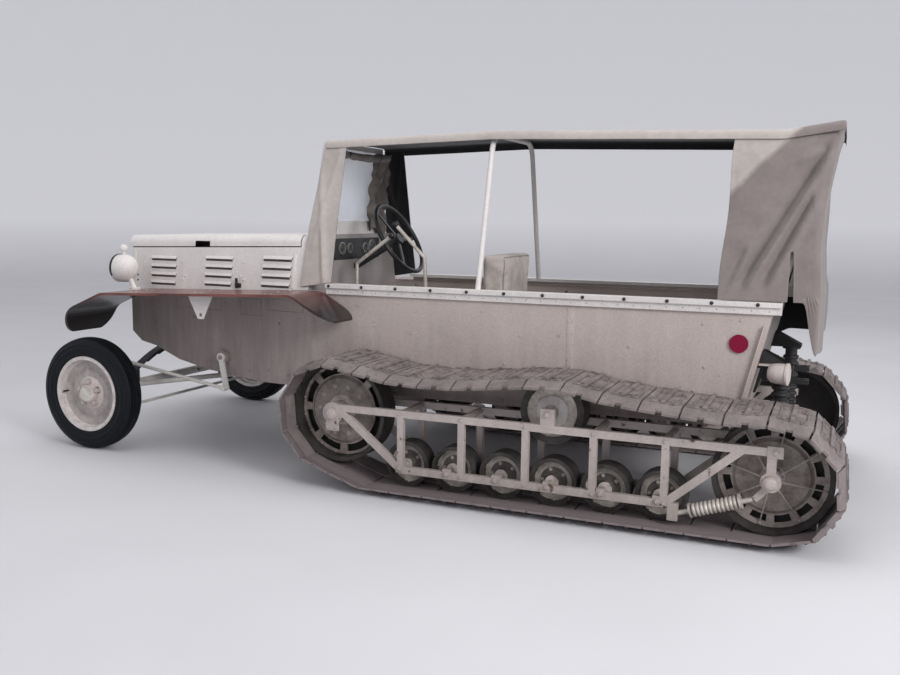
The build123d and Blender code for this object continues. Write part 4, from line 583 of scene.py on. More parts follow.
def cloth_grid(name, across, along, size, shape, material, thickness, body=HULL):
    """A woven sheet: a flat grid with its UV map in metres, laid into place by shape(u, v)."""
    mesh_edit = bmesh.new()
    bmesh.ops.create_grid(mesh_edit, x_segments=across, y_segments=along, size=0.5)
    layer = mesh_edit.loops.layers.uv.new("cloth")
    for face in mesh_edit.faces:
        for loop in face.loops:
            loop[layer].uv = ((loop.vert.co.x + 0.5) * size[0], (loop.vert.co.y + 0.5) * size[1])
    for vert in mesh_edit.verts:
        vert.co = shape(vert.co.x + 0.5, vert.co.y + 0.5)
    sheet = finished(name, mesh_edit, material, body, recalculate=False)
    wall = sheet.modifiers.new("cloth", "SOLIDIFY")
    wall.thickness = thickness
    wall.offset = 0.0
    wall.material_offset = 1
    soft = sheet.modifiers.new("soft", "SUBSURF")
    soft.levels = soft.render_levels = 1
    return sheet


def fold(x, z, start, end, width, height):
    """How far a fold between two (x, z) points lifts the cloth at a place."""
    run_x = end[0] - start[0]
    run_z = end[1] - start[1]
    run = math.hypot(run_x, run_z)
    along = ((x - start[0]) * run_x + (z - start[1]) * run_z) / run / run
    off = ((x - start[0]) * run_z - (z - start[1]) * run_x) / run
    beyond = max(0.0, -along, along - 1.0) * run
    fade = math.exp(-(beyond / (2.2 * width)) ** 2)
    return height * fade * math.exp(-(off / width) ** 2)


def ripple(x, z, size, height, seed=0.0):
    """A smooth unevenness of the cloth."""
    return height * noise.noise(Vector((x / size, z / size, seed)))


# Settings that a user would change.
class TractorColours(bpy.types.PropertyGroup):
    """Colours of the paint and the trim"""
    tub: bpy.props.FloatVectorProperty(name="Tub", description="Paint of the tub", subtype="COLOR",
                                       min=0, max=1, default=(0.58, 0.505, 0.465))
    bonnet: bpy.props.FloatVectorProperty(name="Bonnet", description="Paint of the bonnet, rails and lamps",
                                          subtype="COLOR", min=0, max=1, default=(0.80, 0.765, 0.75))
    gear: bpy.props.FloatVectorProperty(name="Running gear",
                                        description="Paint of the track frames and hubs",
                                        subtype="COLOR", min=0, max=1, default=(0.60, 0.53, 0.505))
    shoes: bpy.props.FloatVectorProperty(name="Track shoes", description="Paint left on the track shoes",
                                         subtype="COLOR", min=0, max=1, default=(0.36, 0.30, 0.29))
    board: bpy.props.FloatVectorProperty(name="Fenders", description="Varnished fender boards",
                                         subtype="COLOR", min=0, max=1, default=(0.150, 0.040, 0.032))
    canvas: bpy.props.FloatVectorProperty(name="Canvas", description="Outer face of the canvas",
                                          subtype="COLOR", min=0, max=1, default=(0.53, 0.480, 0.445))
    # The near-black inner face of the canvas is painted shade under the top.
    lining: bpy.props.FloatVectorProperty(name="Lining", description="Inner face of the canvas",
                                          subtype="COLOR", min=0, max=1, default=(0.012, 0.013, 0.018))
    seats: bpy.props.FloatVectorProperty(name="Seats", description="Seat covers", subtype="COLOR",
                                         min=0, max=1, default=(0.70, 0.62, 0.575))
    reflector: bpy.props.FloatVectorProperty(name="Reflector", description="Side reflectors",
                                             subtype="COLOR", min=0, max=1, default=(0.27, 0.000, 0.035))


class TractorCanvas(bpy.types.PropertyGroup):
    """Sizes of the canvas top"""
    thickness: bpy.props.FloatProperty(name="Thickness", description="Thickness of the cloth",
                                       default=0.0024, unit="LENGTH")
    sag: bpy.props.FloatProperty(name="Sag", description="How far the top hangs between its bows",
                                 default=0.010, unit="LENGTH")
    valance: bpy.props.FloatProperty(name="Valance", description="Depth of the band along the top's edge",
                                     default=0.036, unit="LENGTH")
    crease: bpy.props.FloatProperty(name="Creases",
                                    description="Height of the long folds in the rear canvas",
                                    default=0.023, unit="LENGTH")


class TractorHardware(bpy.types.PropertyGroup):
    """Sizes of the small fittings"""
    bolt_radius: bpy.props.FloatProperty(name="Bolt radius", description="Radius of the bolt heads",
                                         default=0.0065, unit="LENGTH")
    rivet_radius: bpy.props.FloatProperty(name="Rivet radius", description="Radius of the rivet heads",
                                          default=0.0042, unit="LENGTH")
    snap_radius: bpy.props.FloatProperty(name="Fastener radius", default=0.0075, unit="LENGTH",
                                         description="Radius of the canvas fasteners on the rails")
    pad_swell: bpy.props.FloatProperty(name="Pad swell",
                                       description="Furthest that a seat pad's cover may bulge",
                                       default=0.012, unit="LENGTH")


def colours():
    """The paint settings."""
    return bpy.context.scene.tractor_colours


def canvas_sizes():
    """The canvas settings."""
    return bpy.context.scene.tractor_canvas


def fittings():
    """The settings of the small fittings."""
    return bpy.context.scene.tractor_hardware


def known(name, maker, *values, **more):
    """A material by name, made when it is first asked for."""
    return bpy.data.materials.get(name) or maker(name, *values, **more)


# The tub's paint carries painted shade towards the front.
def tub_paint():
    return known("tub_paint", worn_paint, colours().tub, (0.29, 0.235, 0.235), foot=0.30, head=0.86,
                 dirt=0.36, nose=0.62)


def bonnet_paint():
    return known("bonnet_paint", worn_paint, colours().bonnet, (0.42, 0.37, 0.33), foot=0.45, head=1.0,
                 dirt=0.1, rust=0.72)


# The cowl's paint carries painted shade on its faces that look backwards.
def cowl_paint():
    return known("cowl_paint", worn_paint, colours().bonnet, (0.42, 0.36, 0.35), foot=0.45, head=1.0,
                 dirt=0.1, rust=0.66, back=0.72)


def gear_paint():
    return known("gear_paint", worn_paint, colours().gear, (0.20, 0.165, 0.145), foot=0.0, head=0.5,
                 dirt=0.35, rust=0.58)


def axle_paint():
    return known("axle_paint", worn_paint, (0.70, 0.68, 0.66), (0.30, 0.27, 0.25), foot=0.15, head=0.6,
                 dirt=0.2, rust=0.60)


def outer_canvas():
    return known("outer_canvas", woven_canvas, colours().canvas, rgba(colours().canvas, 0.8)[:3])


# Inner face of the canvas, near black: painted shade.
def canvas_lining():
    return known("canvas_lining", woven_canvas, colours().lining, rgba(colours().lining, 0.6)[:3])


def flap_canvas():
    return known("flap_canvas", coated_cloth, (0.30, 0.265, 0.235), (0.15, 0.13, 0.12))


def black_iron():
    return known("black_iron", plain_metal, (0.035, 0.033, 0.035), 0.3, 0.45, 0.75)


def bright_steel():
    return known("bright_steel", plain_metal, (0.62, 0.60, 0.57), 0.85, 0.28, 0.55)


def wire_steel():
    return known("tensioner_steel", plain_metal, BRIGHT_WIRE, 0.35, 0.4, 0.7)


def paint(finish, *names):
    """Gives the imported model's own pieces a finish."""
    for name in names:
        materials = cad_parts[name].data.materials
        materials.clear()
        materials.append(finish)


# Rings of the wheels' finishes: outer radius and colour from the hub out; None stands for the gear paint.
DISC_RINGS = ((0.030, (0.62, 0.59, 0.54)), (0.075, None), (0.150, (0.42, 0.38, 0.365)),
              (0.5, (0.66, 0.61, 0.59)))
SPROCKET_RINGS = ((0.060, None), (0.130, (0.32, 0.28, 0.26)), (0.186, (0.36, 0.31, 0.285)),
                  (0.3, WHEEL_DARK))
IDLER_RINGS = ((0.040, None), (0.126, (0.34, 0.295, 0.275)), (0.180, (0.42, 0.365, 0.34)),
               (0.3, WHEEL_DARK))
ROLLER_RINGS = ((0.034, None), (0.094, (0.56, 0.52, 0.47)), (0.2, WHEEL_DARK))
ROAD_RINGS = ((0.026, None), (0.052, (0.10, 0.088, 0.08)), (0.074, (0.50, 0.455, 0.41)), (0.2, WHEEL_DARK))


def rings(table):
    """A table of rings with the gear paint filled in."""
    return tuple((edge, colour or tuple(colours().gear)) for edge, colour in table)


class TRACTOR_OT_finishes(bpy.types.Operator):
    """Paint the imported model's own pieces"""
    bl_idname = "tractor.finishes"
    bl_label = "Finishes"

    def execute(self, context):
        paint(tub_paint(), "hull_floor", "hull_side_left", "hull_side_right", "hull_nose", "hull_tail",
              "seat_boxes")
        paint(bonnet_paint(), "side_rails", "fender_brackets", "hood_side_left", "hood_side_right",
              "hood_lid", "headlamps", "windscreen_frame", "roof_bows", "radiator")
        paint(cowl_paint(), "cowl")
        paint(gear_paint(), "track_frame_left", "track_frame_right", "drive_axle", "rear_axle")
        paint(axle_paint(), "front_axle", "knuckle_left", "knuckle_right", "tie_rod", "pitman_arm",
              "drag_link")
        paint(black_iron(), "engine_block", "tow_hitch", "rear_springs", "front_spring")
        paint(known("fender_varnish", varnished_board, colours().board), "fender_left", "fender_right")
        paint(wire_steel(), "tensioners", "hand_levers")
        paint(known("windscreen_pane", clear_pane, (0.78, 0.83, 0.90), 0.42), "windscreen_glass")
        paint(known("lamp_lens", clear_pane, (0.86, 0.88, 0.88), 0.9, flutes=60.0), "headlamp_lenses")
        paint(known("reflector_red", prismatic_red, colours().reflector), "reflectors")
        paint(known("grip_black", plain_metal, (0.02, 0.02, 0.022), 0.0, 0.3, 0.5), "steering_wheel")
        paint(known("column_paint", plain_metal, (0.05, 0.05, 0.05), 0.2, 0.4, 0.6), "steering_column")
        paint(known("shoe_steel", track_steel, colours().shoes, (0.205, 0.168, 0.170)), "track_left",
              "track_right")
        paint(known("front_disc", ringed, FRONT_AXLE, rings(DISC_RINGS), grime=(0.60, 0.57, 0.56)),
              "rim_left", "rim_right")
        paint(known("sprocket_paint", ringed, SPROCKET, rings(SPROCKET_RINGS)), "sprockets")
        paint(known("idler_paint", ringed, IDLER, rings(IDLER_RINGS)), "idlers")
        paint(known("roller_paint", ringed, ROLLER, rings(ROLLER_RINGS)), "return_rollers")
        first_road_wheel = Vector((ROAD_FIRST, 0.0, ROAD_Z))
        paint(known("road_wheel_paint", ringed, first_road_wheel, rings(ROAD_RINGS), abs(ROAD_STEP)),
              "road_wheels")
        return {"FINISHED"}


# The canvas top.  Each station is (x, height, flare) where the cloth lies on a bow or edge.
TOP_STATIONS = ((0.436, 1.403, 0.0), (-0.330, 1.425, 0.0), (-1.450, 1.400, 0.0), (-1.645, 1.428, 0.012))
TOP_BAYS = ((0.436, -0.330), (-0.330, -1.616))
TOP_HEM = 0.020
TOP_CORNER = 0.030
TOP_CLEAR = 0.0052


def top_at(x):
    """Height and flare of the canvas top at a station."""
    for (x0, z0, flare0), (x1, z1, flare1) in zip(TOP_STATIONS, TOP_STATIONS[1:]):
        if x >= x1:
            share = max(0.0, (x0 - x) / (x0 - x1))
            return z0 + (z1 - z0) * share, flare0 + (flare1 - flare0) * share
    return TOP_STATIONS[-1][1:]


def top_hang(x):
    """How far the top hangs at a station, as a share of its sag."""
    for start, end in TOP_BAYS:
        if end < x < start:
            return math.sin(math.pi * (start - x) / (start - end))
    return 0.0


class TRACTOR_OT_canvas_top(bpy.types.Operator):
    """Stretch the canvas top over its bows, with a stitched valance along both edges"""
    bl_idname = "tractor.canvas_top"
    bl_label = "Canvas top"

    def execute(self, context):
        sizes = canvas_sizes()
        quarter = TOP_CORNER * math.pi / 2
        drop = sizes.valance - TOP_CORNER
        front = TOP_STATIONS[0][0]
        back = TOP_STATIONS[-1][0]

        def shape(u, v):
            """u runs across from valance to valance, v from the front edge to the rear hem."""
            reach = v * (front - back + TOP_HEM)
            x = max(front - reach, back)
            z_top, flare = top_at(x)
            z_top -= max(0.0, reach - (front - back))
            half = lean_y(z_top - sizes.valance) + TOP_CLEAR + flare
            flat = half - TOP_CORNER
            s = (2 * u - 1) * (flat + quarter + drop)
            side = 1 if s > 0 else -1
            s = abs(s)
            if s <= flat:
                y = s
                z = z_top
                out = 0.0
            elif s <= flat + quarter:
                turn = (s - flat) / TOP_CORNER
                y = flat + TOP_CORNER * math.sin(turn)
                z = z_top - TOP_CORNER * (1 - math.cos(turn))
                out = math.sin(turn)
            else:
                y = half
                z = z_top - TOP_CORNER - (s - flat - quarter)
                out = 1.0
            inside = max(0.0, 1 - (s / flat) ** 2) if s < flat else 0.0
            hang = sizes.sag * top_hang(x) * inside
            taut = ripple(x * 0.35, side * y, 0.07, 0.0022, 3.1) * (0.3 + inside)
            edge = out * ripple(x, 0.0, 0.16, 0.0028, side * 7.7)
            seam = 0.0012 * math.exp(-((s - flat - quarter * 0.55) / 0.004) ** 2)
            roll = 0.0016 * max(0.0, 1 - (flat + quarter + drop - s) / 0.010)
            end_roll = 0.0015 * (math.exp(-(v / 0.006) ** 2) + math.exp(-((1 - v) / 0.006) ** 2))
            y += edge + (seam + roll) * out
            z += taut * 0.6 + seam * (1 - out) + end_roll - hang - 0.0022
            return Vector((x, side * y, z))

        length = sum(math.hypot(a[0] - b[0], a[1] - b[1]) for a, b in zip(TOP_STATIONS, TOP_STATIONS[1:]))
        length += TOP_HEM
        width = 2 * (lean_y(1.38) + TOP_CLEAR - TOP_CORNER + quarter + drop)
        top = cloth_grid("canvas_top_cover", 84, 176, (width, length), shape,
                         (outer_canvas(), canvas_lining()), sizes.thickness)
        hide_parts("canvas_roof")
        return {"FINISHED"}


# The rear canvas.
REAR_FRONT_X = -1.266       # front edge of both side panels
REAR_SLIT_X = -1.492        # slit behind the left panel
REAR_SLIT_TOP = 0.965
REAR_LAP = 0.112            # from the slit round to the rear corner
REAR_FOOT_Z = 0.606
REAR_TOP_X = -1.45          # the cloth hangs from the top here,
REAR_PEAK_X = -1.62         # and rises with it to here
REAR_LIMIT_X = -1.646
REAR_HEIGHT = 0.800
RIGHT_LOOSE = 0.085         # from the right panel's front edge to where it comes off the rail
RIGHT_FOOT_Z = 0.545
RIGHT_OUT_Z = 0.870         # the loose part hangs outside the rail below this height
# Rear corner at some heights, as (height, station).
REAR_CORNER = ((0.6, -1.6045), (0.80, -1.606), (0.958, -1.594), (1.19, -1.600), (1.343, -1.622),
               (1.40, -1.638))
# Ridges, and hollows with a minus, in the side panels: upper end, lower end, width, share of the height.
REAR_FOLDS = (((-1.530, 1.370), (-1.262, 1.150), 0.060, 0.5),
              ((-1.598, 1.290), (-1.365, 0.850), 0.012, 1.0),
              ((-1.583, 1.325), (-1.339, 0.862), 0.013, -0.95),
              ((-1.560, 1.120), (-1.440, 0.860), 0.013, 0.7),
              ((-1.540, 1.150), (-1.410, 0.860), 0.012, -0.6),
              ((-1.350, 0.960), (-1.288, 0.800), 0.014, 0.5),
              ((-1.330, 0.950), (-1.268, 0.810), 0.012, -0.3),
              ((-1.612, 1.340), (-1.520, 1.290), 0.014, 0.4))


def clamped(value):
    """A value kept between 0 and 1."""
    return max(0.0, min(1.0, value))


def eased(share):
    """A smooth step from 0 to 1."""
    share = clamped(share)
    return share * share * (3 - 2 * share)


def rear_edge(z):
    """Station of the rear canvas's rear corner at a height."""
    for (z0, x0), (z1, x1) in zip(REAR_CORNER, REAR_CORNER[1:]):
        if z <= z1:
            return x0 + (x1 - x0) * max(0.0, z - z0) / (z1 - z0)
    return REAR_CORNER[-1][1]


def rear_crease(x, z):
    """How far the side of the rear canvas bulges at a place."""
    high = canvas_sizes().crease
    folds = sum(fold(x, z, start, end, width, high * share) for start, end, width, share in REAR_FOLDS)
    return folds + ripple(x, z, 0.07, high * 0.2, 2.2)


class TRACTOR_OT_rear_canvas(bpy.types.Operator):
    """Hang the rear canvas: one cloth round the tail, fastened along the rails and slit on the left"""
    bl_idname = "tractor.rear_canvas"
    bl_label = "Rear canvas"

    def execute(self, context):
        sizes = canvas_sizes()
        foot = RAIL_TOP + 0.0025
        top = top_at(REAR_TOP_X)[0] - 0.011
        peak = top_at(REAR_PEAK_X)[0] - top_at(REAR_TOP_X)[0]
        panel = REAR_FRONT_X - REAR_SLIT_X
        corner_run = panel + REAR_LAP
        half = corner_run + lean_y(SIDE_TOP)
        columns = 176
        rows = 92
        slit_column = round(columns * panel / (2 * half))
        rail_out = HULL_HALF + RAIL_OUT + 0.006 - lean_y(foot)

        def lowest(run, side, loose):
            """Height of the cloth's lower edge at a run from its front edge."""
            if side < 0:
                hanging = RIGHT_FOOT_Z + 0.54 * (run - RIGHT_LOOSE)
                return foot + (min(hanging, REAR_FOOT_Z) - foot) * loose
            if run >= corner_run:
                return REAR_FOOT_Z
            if run > panel + 0.55 * REAR_LAP:
                down = min(1.0, ((run - panel) / REAR_LAP - 0.55) / 0.45 * 1.4) ** 0.8
                return foot - (foot - REAR_FOOT_Z) * down
            return foot

        def side_panel(run, v, z, low, side, loose):
            """Station and half width of the cloth beside the tub and round to the corner."""
            near_front = REAR_FRONT_X - 0.012 + 0.020 * (1 - v) + 0.004 * math.sin(9 * v)
            if run <= panel:
                x = near_front + (REAR_SLIT_X - near_front) * run / panel
            else:
                x = REAR_SLIT_X + (rear_edge(z) - REAR_SLIT_X) * (run - panel) / REAR_LAP
            held = min(1.0, 6 * run / panel + 0.2) * min(1.0, 10 * (1 - v))
            held *= min(1.0, max(0.15, 9 * (z - foot)))
            front_hem = 0.0018 * math.exp(-(run / 0.008) ** 2)
            foot_hem = 0.0016 * math.exp(-(v * (top - low) / 0.010) ** 2)
            y = lean_y(max(z, foot - 0.02)) - 0.001 + rear_crease(x, z) * held + front_hem + foot_hem
            y -= 0.009 * max(0.0, (run - panel) / REAR_LAP - 0.8) / 0.2
            if side < 0:
                outside = eased((RIGHT_OUT_Z - z) / 0.075) * loose
                y = max(y, lean_y(max(z, foot)) + outside * rail_out)
                y += outside * 0.006 * math.sin(run * 40)
            elif z < foot:
                y = lean_y(foot) + 0.006 - (0.010 if run > panel + 0.9 * REAR_LAP else 0.0)
            return x, y

        def back(run, v, z, side):
            """Station and half width of the cloth across the tail."""
            across = (run - corner_run) / lean_y(SIDE_TOP)
            y = (lean_y(max(z, foot)) - 0.010) * (1 - across)
            if side < 0:
                y += 0.040 * eased((RIGHT_OUT_Z - z) / 0.075) * (1 - across) ** 3
            sway = (0.5 + 0.5 * (1 - v)) * (1 - v) ** 0.4
            x = rear_edge(z) + (0.010 * across + 0.009 * math.sin(side * y * 17 + 0.6)) * sway
            return max(x + ripple(side * y, z, 0.15, 0.006, 5.5), REAR_LIMIT_X), y

        def shape(u, v):
            """u runs from the left front edge round the tail to the right front edge, v upwards."""
            side = 1 if u < 0.5 else -1
            run = min(u, 1 - u) * 2 * half
            loose = eased((run - RIGHT_LOOSE) / 0.030) if side < 0 else 0.0
            low = lowest(run, side, loose)
            z = low + (top + peak * clamped((run - panel) / REAR_LAP) - low) * v
            if run <= corner_run:
                x, y = side_panel(run, v, z, low, side, loose)
            else:
                x, y = back(run, v, z, side)
            if side > 0 and round(u * columns) == slit_column + 1:
                opened = max(0.0, REAR_SLIT_TOP - z) / (REAR_SLIT_TOP - foot)
                x -= 0.012 * opened
                y += 0.006 * opened
            return Vector((x, side * y, z))

        flat = (round(2 * half, 3), REAR_HEIGHT)
        cloth = cloth_grid("rear_cloth", columns, rows, flat, shape, (outer_canvas(), canvas_lining()),
                           sizes.thickness)
        cut = bmesh.new()
        cut.from_mesh(cloth.data)
        layer = cut.loops.layers.uv["cloth"]
        gaps = []
        for face in cut.faces:
            across = sum(loop[layer].uv.x for loop in face.loops) / len(face.loops)
            in_slit = int(across / flat[0] * columns) == slit_column
            if in_slit and face.calc_center_median().z < REAR_SLIT_TOP:
                gaps.append(face)
        bmesh.ops.delete(cut, geom=gaps, context="FACES")
        cut.to_mesh(cloth.data)
        cut.free()
        cloth.data.shade_smooth()
        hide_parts("canvas_rear")
        return {"FINISHED"}


# Edges of the strips beside the windscreen, from the top down, as (x, z).
STRIP_FRONT = ((0.434, 1.392), (0.473, 1.021), (0.481, 0.768))
STRIP_REAR = ((0.330, 1.392), (0.332, 1.021), (0.3285, 0.792))
STRIP_FLAT = (0.130, 0.628)
STRIP_FOLDS = (((0.455, 1.330), (0.370, 0.830), 0.014, 0.007),
               ((0.350, 1.380), (0.440, 0.960), 0.013, 0.005),
               ((0.400, 1.000), (0.365, 0.790), 0.012, 0.006))


def along_edge(line, v):
    """A place along an edge of three points."""
    (xa, za), (xb, zb), (xc, zc) = line
    bend = (za - zb) / (za - zc)
    if v < bend:
        share = v / bend
        return xa + (xb - xa) * share, za + (zb - za) * share
    share = (v - bend) / (1 - bend)
    return xb + (xc - xb) * share, zb + (zc - zb) * share


class TRACTOR_OT_front_strips(bpy.types.Operator):
    """Hang the narrow canvas strips beside the windscreen"""
    bl_idname = "tractor.front_strips"
    bl_label = "Front strips"

    def execute(self, context):
        def shape(u, v, side):
            """u runs from the front edge to the rear edge, v down from the top."""
            x_front, z_front = along_edge(STRIP_FRONT, v)
            x_rear, z_rear = along_edge(STRIP_REAR, v)
            x = x_front + (x_rear - x_front) * u
            z = z_front + (z_rear - z_front) * u
            if x <= 0.353 and v > 0.93:
                z = max(z, RAIL_TOP + 0.003)
            out = 0.004 + sum(fold(x, z, *values) for values in STRIP_FOLDS) + ripple(x, z, 0.05, 0.0018,
                                                                                      4.4)
            edge = 0.0015 * (math.exp(-(u / 0.05) ** 2) + math.exp(-((1 - u) / 0.05) ** 2))
            quiet = min(1.0, 14 * v) * min(1.0, 0.35 + 7 * u)
            return Vector((x, side * (lean_y(z) - 0.0018 + max(0.0, out) * quiet + edge), z))

        for side, label in zip(SIDES, ("left", "right")):
            faces = (canvas_lining(), outer_canvas()) if side > 0 else (outer_canvas(), canvas_lining())
            strip = cloth_grid(f"front_strip_{label}", 24, 96, STRIP_FLAT, lambda u, v,
                               s=side: shape(u, v, s), faces, canvas_sizes().thickness)
        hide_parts("canvas_strips")
        return {"FINISHED"}


# Seats.
SEAT_BASE = 0.4205
SEAT_HALF = 0.188
PAD_INSET = 0.006
# Boxes of the pads: lowest corner, highest corner, and how far the top leans back.
DRIVER_CUSHION = ((-0.243, -SEAT_HALF, SEAT_BASE), (0.118, SEAT_HALF, 0.513), 0.0)
DRIVER_BACK = ((-0.350, -SEAT_HALF, SEAT_BASE), (-0.252, SEAT_HALF, 0.934), 0.010)
REAR_CUSHION = ((-1.228, -SEAT_HALF, SEAT_BASE), (-0.840, SEAT_HALF, 0.513), 0.0)
REAR_BACK = ((-1.333, -SEAT_HALF, SEAT_BASE), (-1.240, SEAT_HALF, 0.772), 0.070)
WELT_RADIUS = 0.0032
WELT_HALF = 0.174
WELT_FOOT = 0.02            # the welts of the backs start this far above the seat base
CUSHION_WELT_Z = 0.53       # the welts of the cushions are laid down from this height


def evaluated_mesh(stuffed):
    """A copy of an object's mesh as its modifiers leave it."""
    return stuffed.evaluated_get(bpy.context.evaluated_depsgraph_get()).to_mesh().copy()


def swelled(stuffed, low, high):
    """A pad's mesh with its cover blown up by cloth pressure, kept near the pad's box."""
    limit = fittings().pad_swell
    remesh = stuffed.modifiers.new("even", "REMESH")
    remesh.mode = "VOXEL"
    remesh.voxel_size = 0.011
    start = evaluated_mesh(stuffed)
    stuffed.modifiers.clear()
    stuffed.data = start
    rest = [vert.co.copy() for vert in start.vertices]
    cloth = stuffed.modifiers.new("cover", "CLOTH")
    cloth.settings.use_pressure = True
    cloth.settings.uniform_pressure_force = 3.5
    cloth.settings.effector_weights.gravity = 0.0
    cloth.settings.tension_stiffness = 9.0
    cloth.settings.compression_stiffness = 9.0
    cloth.point_cache.frame_start = 1
    cloth.point_cache.frame_end = 16
    for step in range(1, 15):
        bpy.context.scene.frame_set(step)
    mesh = evaluated_mesh(stuffed)
    stuffed.modifiers.clear()
    bpy.context.scene.frame_set(1)
    for vert, was in zip(mesh.vertices, rest):
        move = vert.co - was
        if move.length > limit:
            move *= limit / move.length
        kept = was + move
        for i in (1, 2):
            kept[i] = min(max(kept[i], low[i] + 0.0008), high[i] + 0.004)
        vert.co = kept
    return mesh


def pad(name, box, material):
    """A stuffed seat pad, made from its box and swelled where cloth is simulated."""
    low, high, lean = box
    size = [high[i] - low[i] - 2 * PAD_INSET for i in range(3)]
    centre = [(high[i] + low[i]) / 2 for i in range(3)]
    mesh_edit = bmesh.new()
    bmesh.ops.create_cube(mesh_edit, size=1.0,
                          matrix=Matrix.Translation(centre) @ Matrix.Diagonal((*size, 1.0)))
    bmesh.ops.subdivide_edges(mesh_edit, edges=mesh_edit.edges[:], cuts=5, use_grid_fill=True)
    for vert in mesh_edit.verts:
        vert.co.x -= lean * (vert.co.z - low[2]) / (high[2] - low[2])
    made = finished(name, mesh_edit, material)
    made.data = swelled(made, low, high)
    made.data.materials.clear()
    made.data.materials.append(material)
    made.data.shade_smooth()
    soft = made.modifiers.new("soft", "SUBSURF")
    soft.levels = soft.render_levels = 1
    return made


def piping(name, stuffed, corners, material):
    """A round welt along a closed loop of corners, laid onto a pad."""
    pad_tree = BVHTree.FromObject(stuffed, bpy.context.evaluated_depsgraph_get())
    loop = [Vector(corner) for corner in corners]
    points = []
    for a, b in zip(loop, loop[1:] + [loop[0]]):
        for k in range(12):
            points.append(pad_tree.find_nearest(a.lerp(b, k / 12))[0])
    points.append(points[0].copy())
    made = tube(name, points, WELT_RADIUS, material, steps=3)


class TRACTOR_OT_seats(bpy.types.Operator):
    """Stuff the seat cushions and backs"""
    bl_idname = "tractor.seats"
    bl_label = "Seats"

    def execute(self, context):
        cover = known("seat_cover", coated_cloth, colours().seats, (0.33, 0.30, 0.27))
        welt = known("seat_welt", coated_cloth, rgba(colours().seats, 0.6)[:3], (0.20, 0.18, 0.16))
        driver_cushion = pad("driver_cushion", DRIVER_CUSHION, cover)
        driver_back = pad("driver_back", DRIVER_BACK, cover)
        rear_cushion = pad("rear_cushion", REAR_CUSHION, cover)
        rear_back = pad("rear_back", REAR_BACK, cover)
        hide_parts("driver_seat")
        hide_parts("rear_seat")
        foot = SEAT_BASE + WELT_FOOT
        for name, stuffed, x, lean, top in (("driver_back_welt", driver_back, -0.362, 0.010, 0.918),
                                            ("rear_back_welt", rear_back, -1.345, 0.070, 0.756)):
            corners = ((x, WELT_HALF, foot), (x - lean, WELT_HALF, top), (x - lean, -WELT_HALF, top),
                       (x, -WELT_HALF, foot))
            piping(name, stuffed, corners, welt)
        for name, stuffed, rear, front in (("driver_cushion_welt", driver_cushion, -0.228, 0.106),
                                           ("rear_cushion_welt", rear_cushion, -1.212, -0.852)):
            corners = ((rear, WELT_HALF, CUSHION_WELT_Z), (front, WELT_HALF, CUSHION_WELT_Z),
                       (front, -WELT_HALF, CUSHION_WELT_Z), (rear, -WELT_HALF, CUSHION_WELT_Z))
            piping(name, stuffed, corners, welt)
        return {"FINISHED"}


# Wall of the front tyre from its bead to the shoulder, as (radius, distance across).
TYRE_WALL = ((0.1615, 0.0365), (RIM_RADIUS + 0.0005, 0.0387), (RIM_RADIUS + 0.001, 0.045), (0.180, 0.0462),
             (0.183, 0.0475), (0.186, 0.0462), (0.205, TYRE_HALF - 0.001), (0.2065, TYRE_HALF),
             (0.2085, TYRE_HALF), (0.210, TYRE_HALF - 0.0012), (0.226, 0.0475), (0.2275, 0.0486),
             (0.2295, 0.0482), (0.231, 0.0465), (0.240, 0.0435), (0.2478, 0.0398), (0.2505, 0.0375))
TYRE_BEAD = ((0.1615, 0.0145), (0.151, 0.0105), (0.151, -0.0105), (0.1615, -0.0145))
TREAD_RIBS = (0.034, 0.0225, 0.0110)        # outer edges of the ribs beside the middle one
TREAD_DEPTH = 0.0048
TREAD_FALL = 0.0052                         # drop of the tread from its middle to its edge


class TRACTOR_OT_tyres(bpy.types.Operator):
    """Mould the front tyres, with a ribbed tread and rings on the walls"""
    bl_idname = "tractor.tyres"
    bl_label = "Front tyres"

    def execute(self, context):
        rubber = known("tyre_rubber_black", moulded_rubber, TYRE_BLACK)
        top = TYRE_RADIUS - 0.0002
        half = list(TYRE_WALL)
        for edge in TREAD_RIBS:
            crown = top - (edge / TREAD_RIBS[0]) ** 2 * TREAD_FALL
            groove = crown - TREAD_DEPTH
            half += [(crown, edge), (crown + 0.0001, edge - 0.0065), (groove, edge - 0.0072),
                     (groove, edge - 0.0105)]
        half += [(top, 0.0035), (top, 0.0)]
        profile = [(radius, -across) for radius, across in half]
        profile += reversed(half[:-1])
        profile += TYRE_BEAD
        profile.append(profile[0])
        for side, label in zip(SIDES, ("left", "right")):
            mesh_edit = bmesh.new()
            lathe(mesh_edit, profile, shifted(FRONT_AXLE, side * HALF_TREAD), (0, 1, 0), steps=96)
            tyre = finished(f"tread_tyre_{label}", mesh_edit, rubber, f"front_wheel_{label}")
            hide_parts(f"tyre_{label}")
        return {"FINISHED"}


TYRE_VALVE = ((0.0, 0.0), (0.004, 0.0), (0.004, 0.016), (0.0052, 0.018), (0.0052, 0.028), (0.0, 0.029))
ROLLER_CAP = ((0.027, 0.0), (0.060, 0.0), (0.060, 0.006), (0.052, 0.011), (0.027, 0.017), (0.027, 0.0))
# Near-black discs that close the large wheels behind their windows, as painted shade: centre, hub radius,
# rim radius.
WHEEL_SHADE_DISCS = ((SPROCKET, 0.045, 0.1885), (IDLER, 0.039, 0.1815))


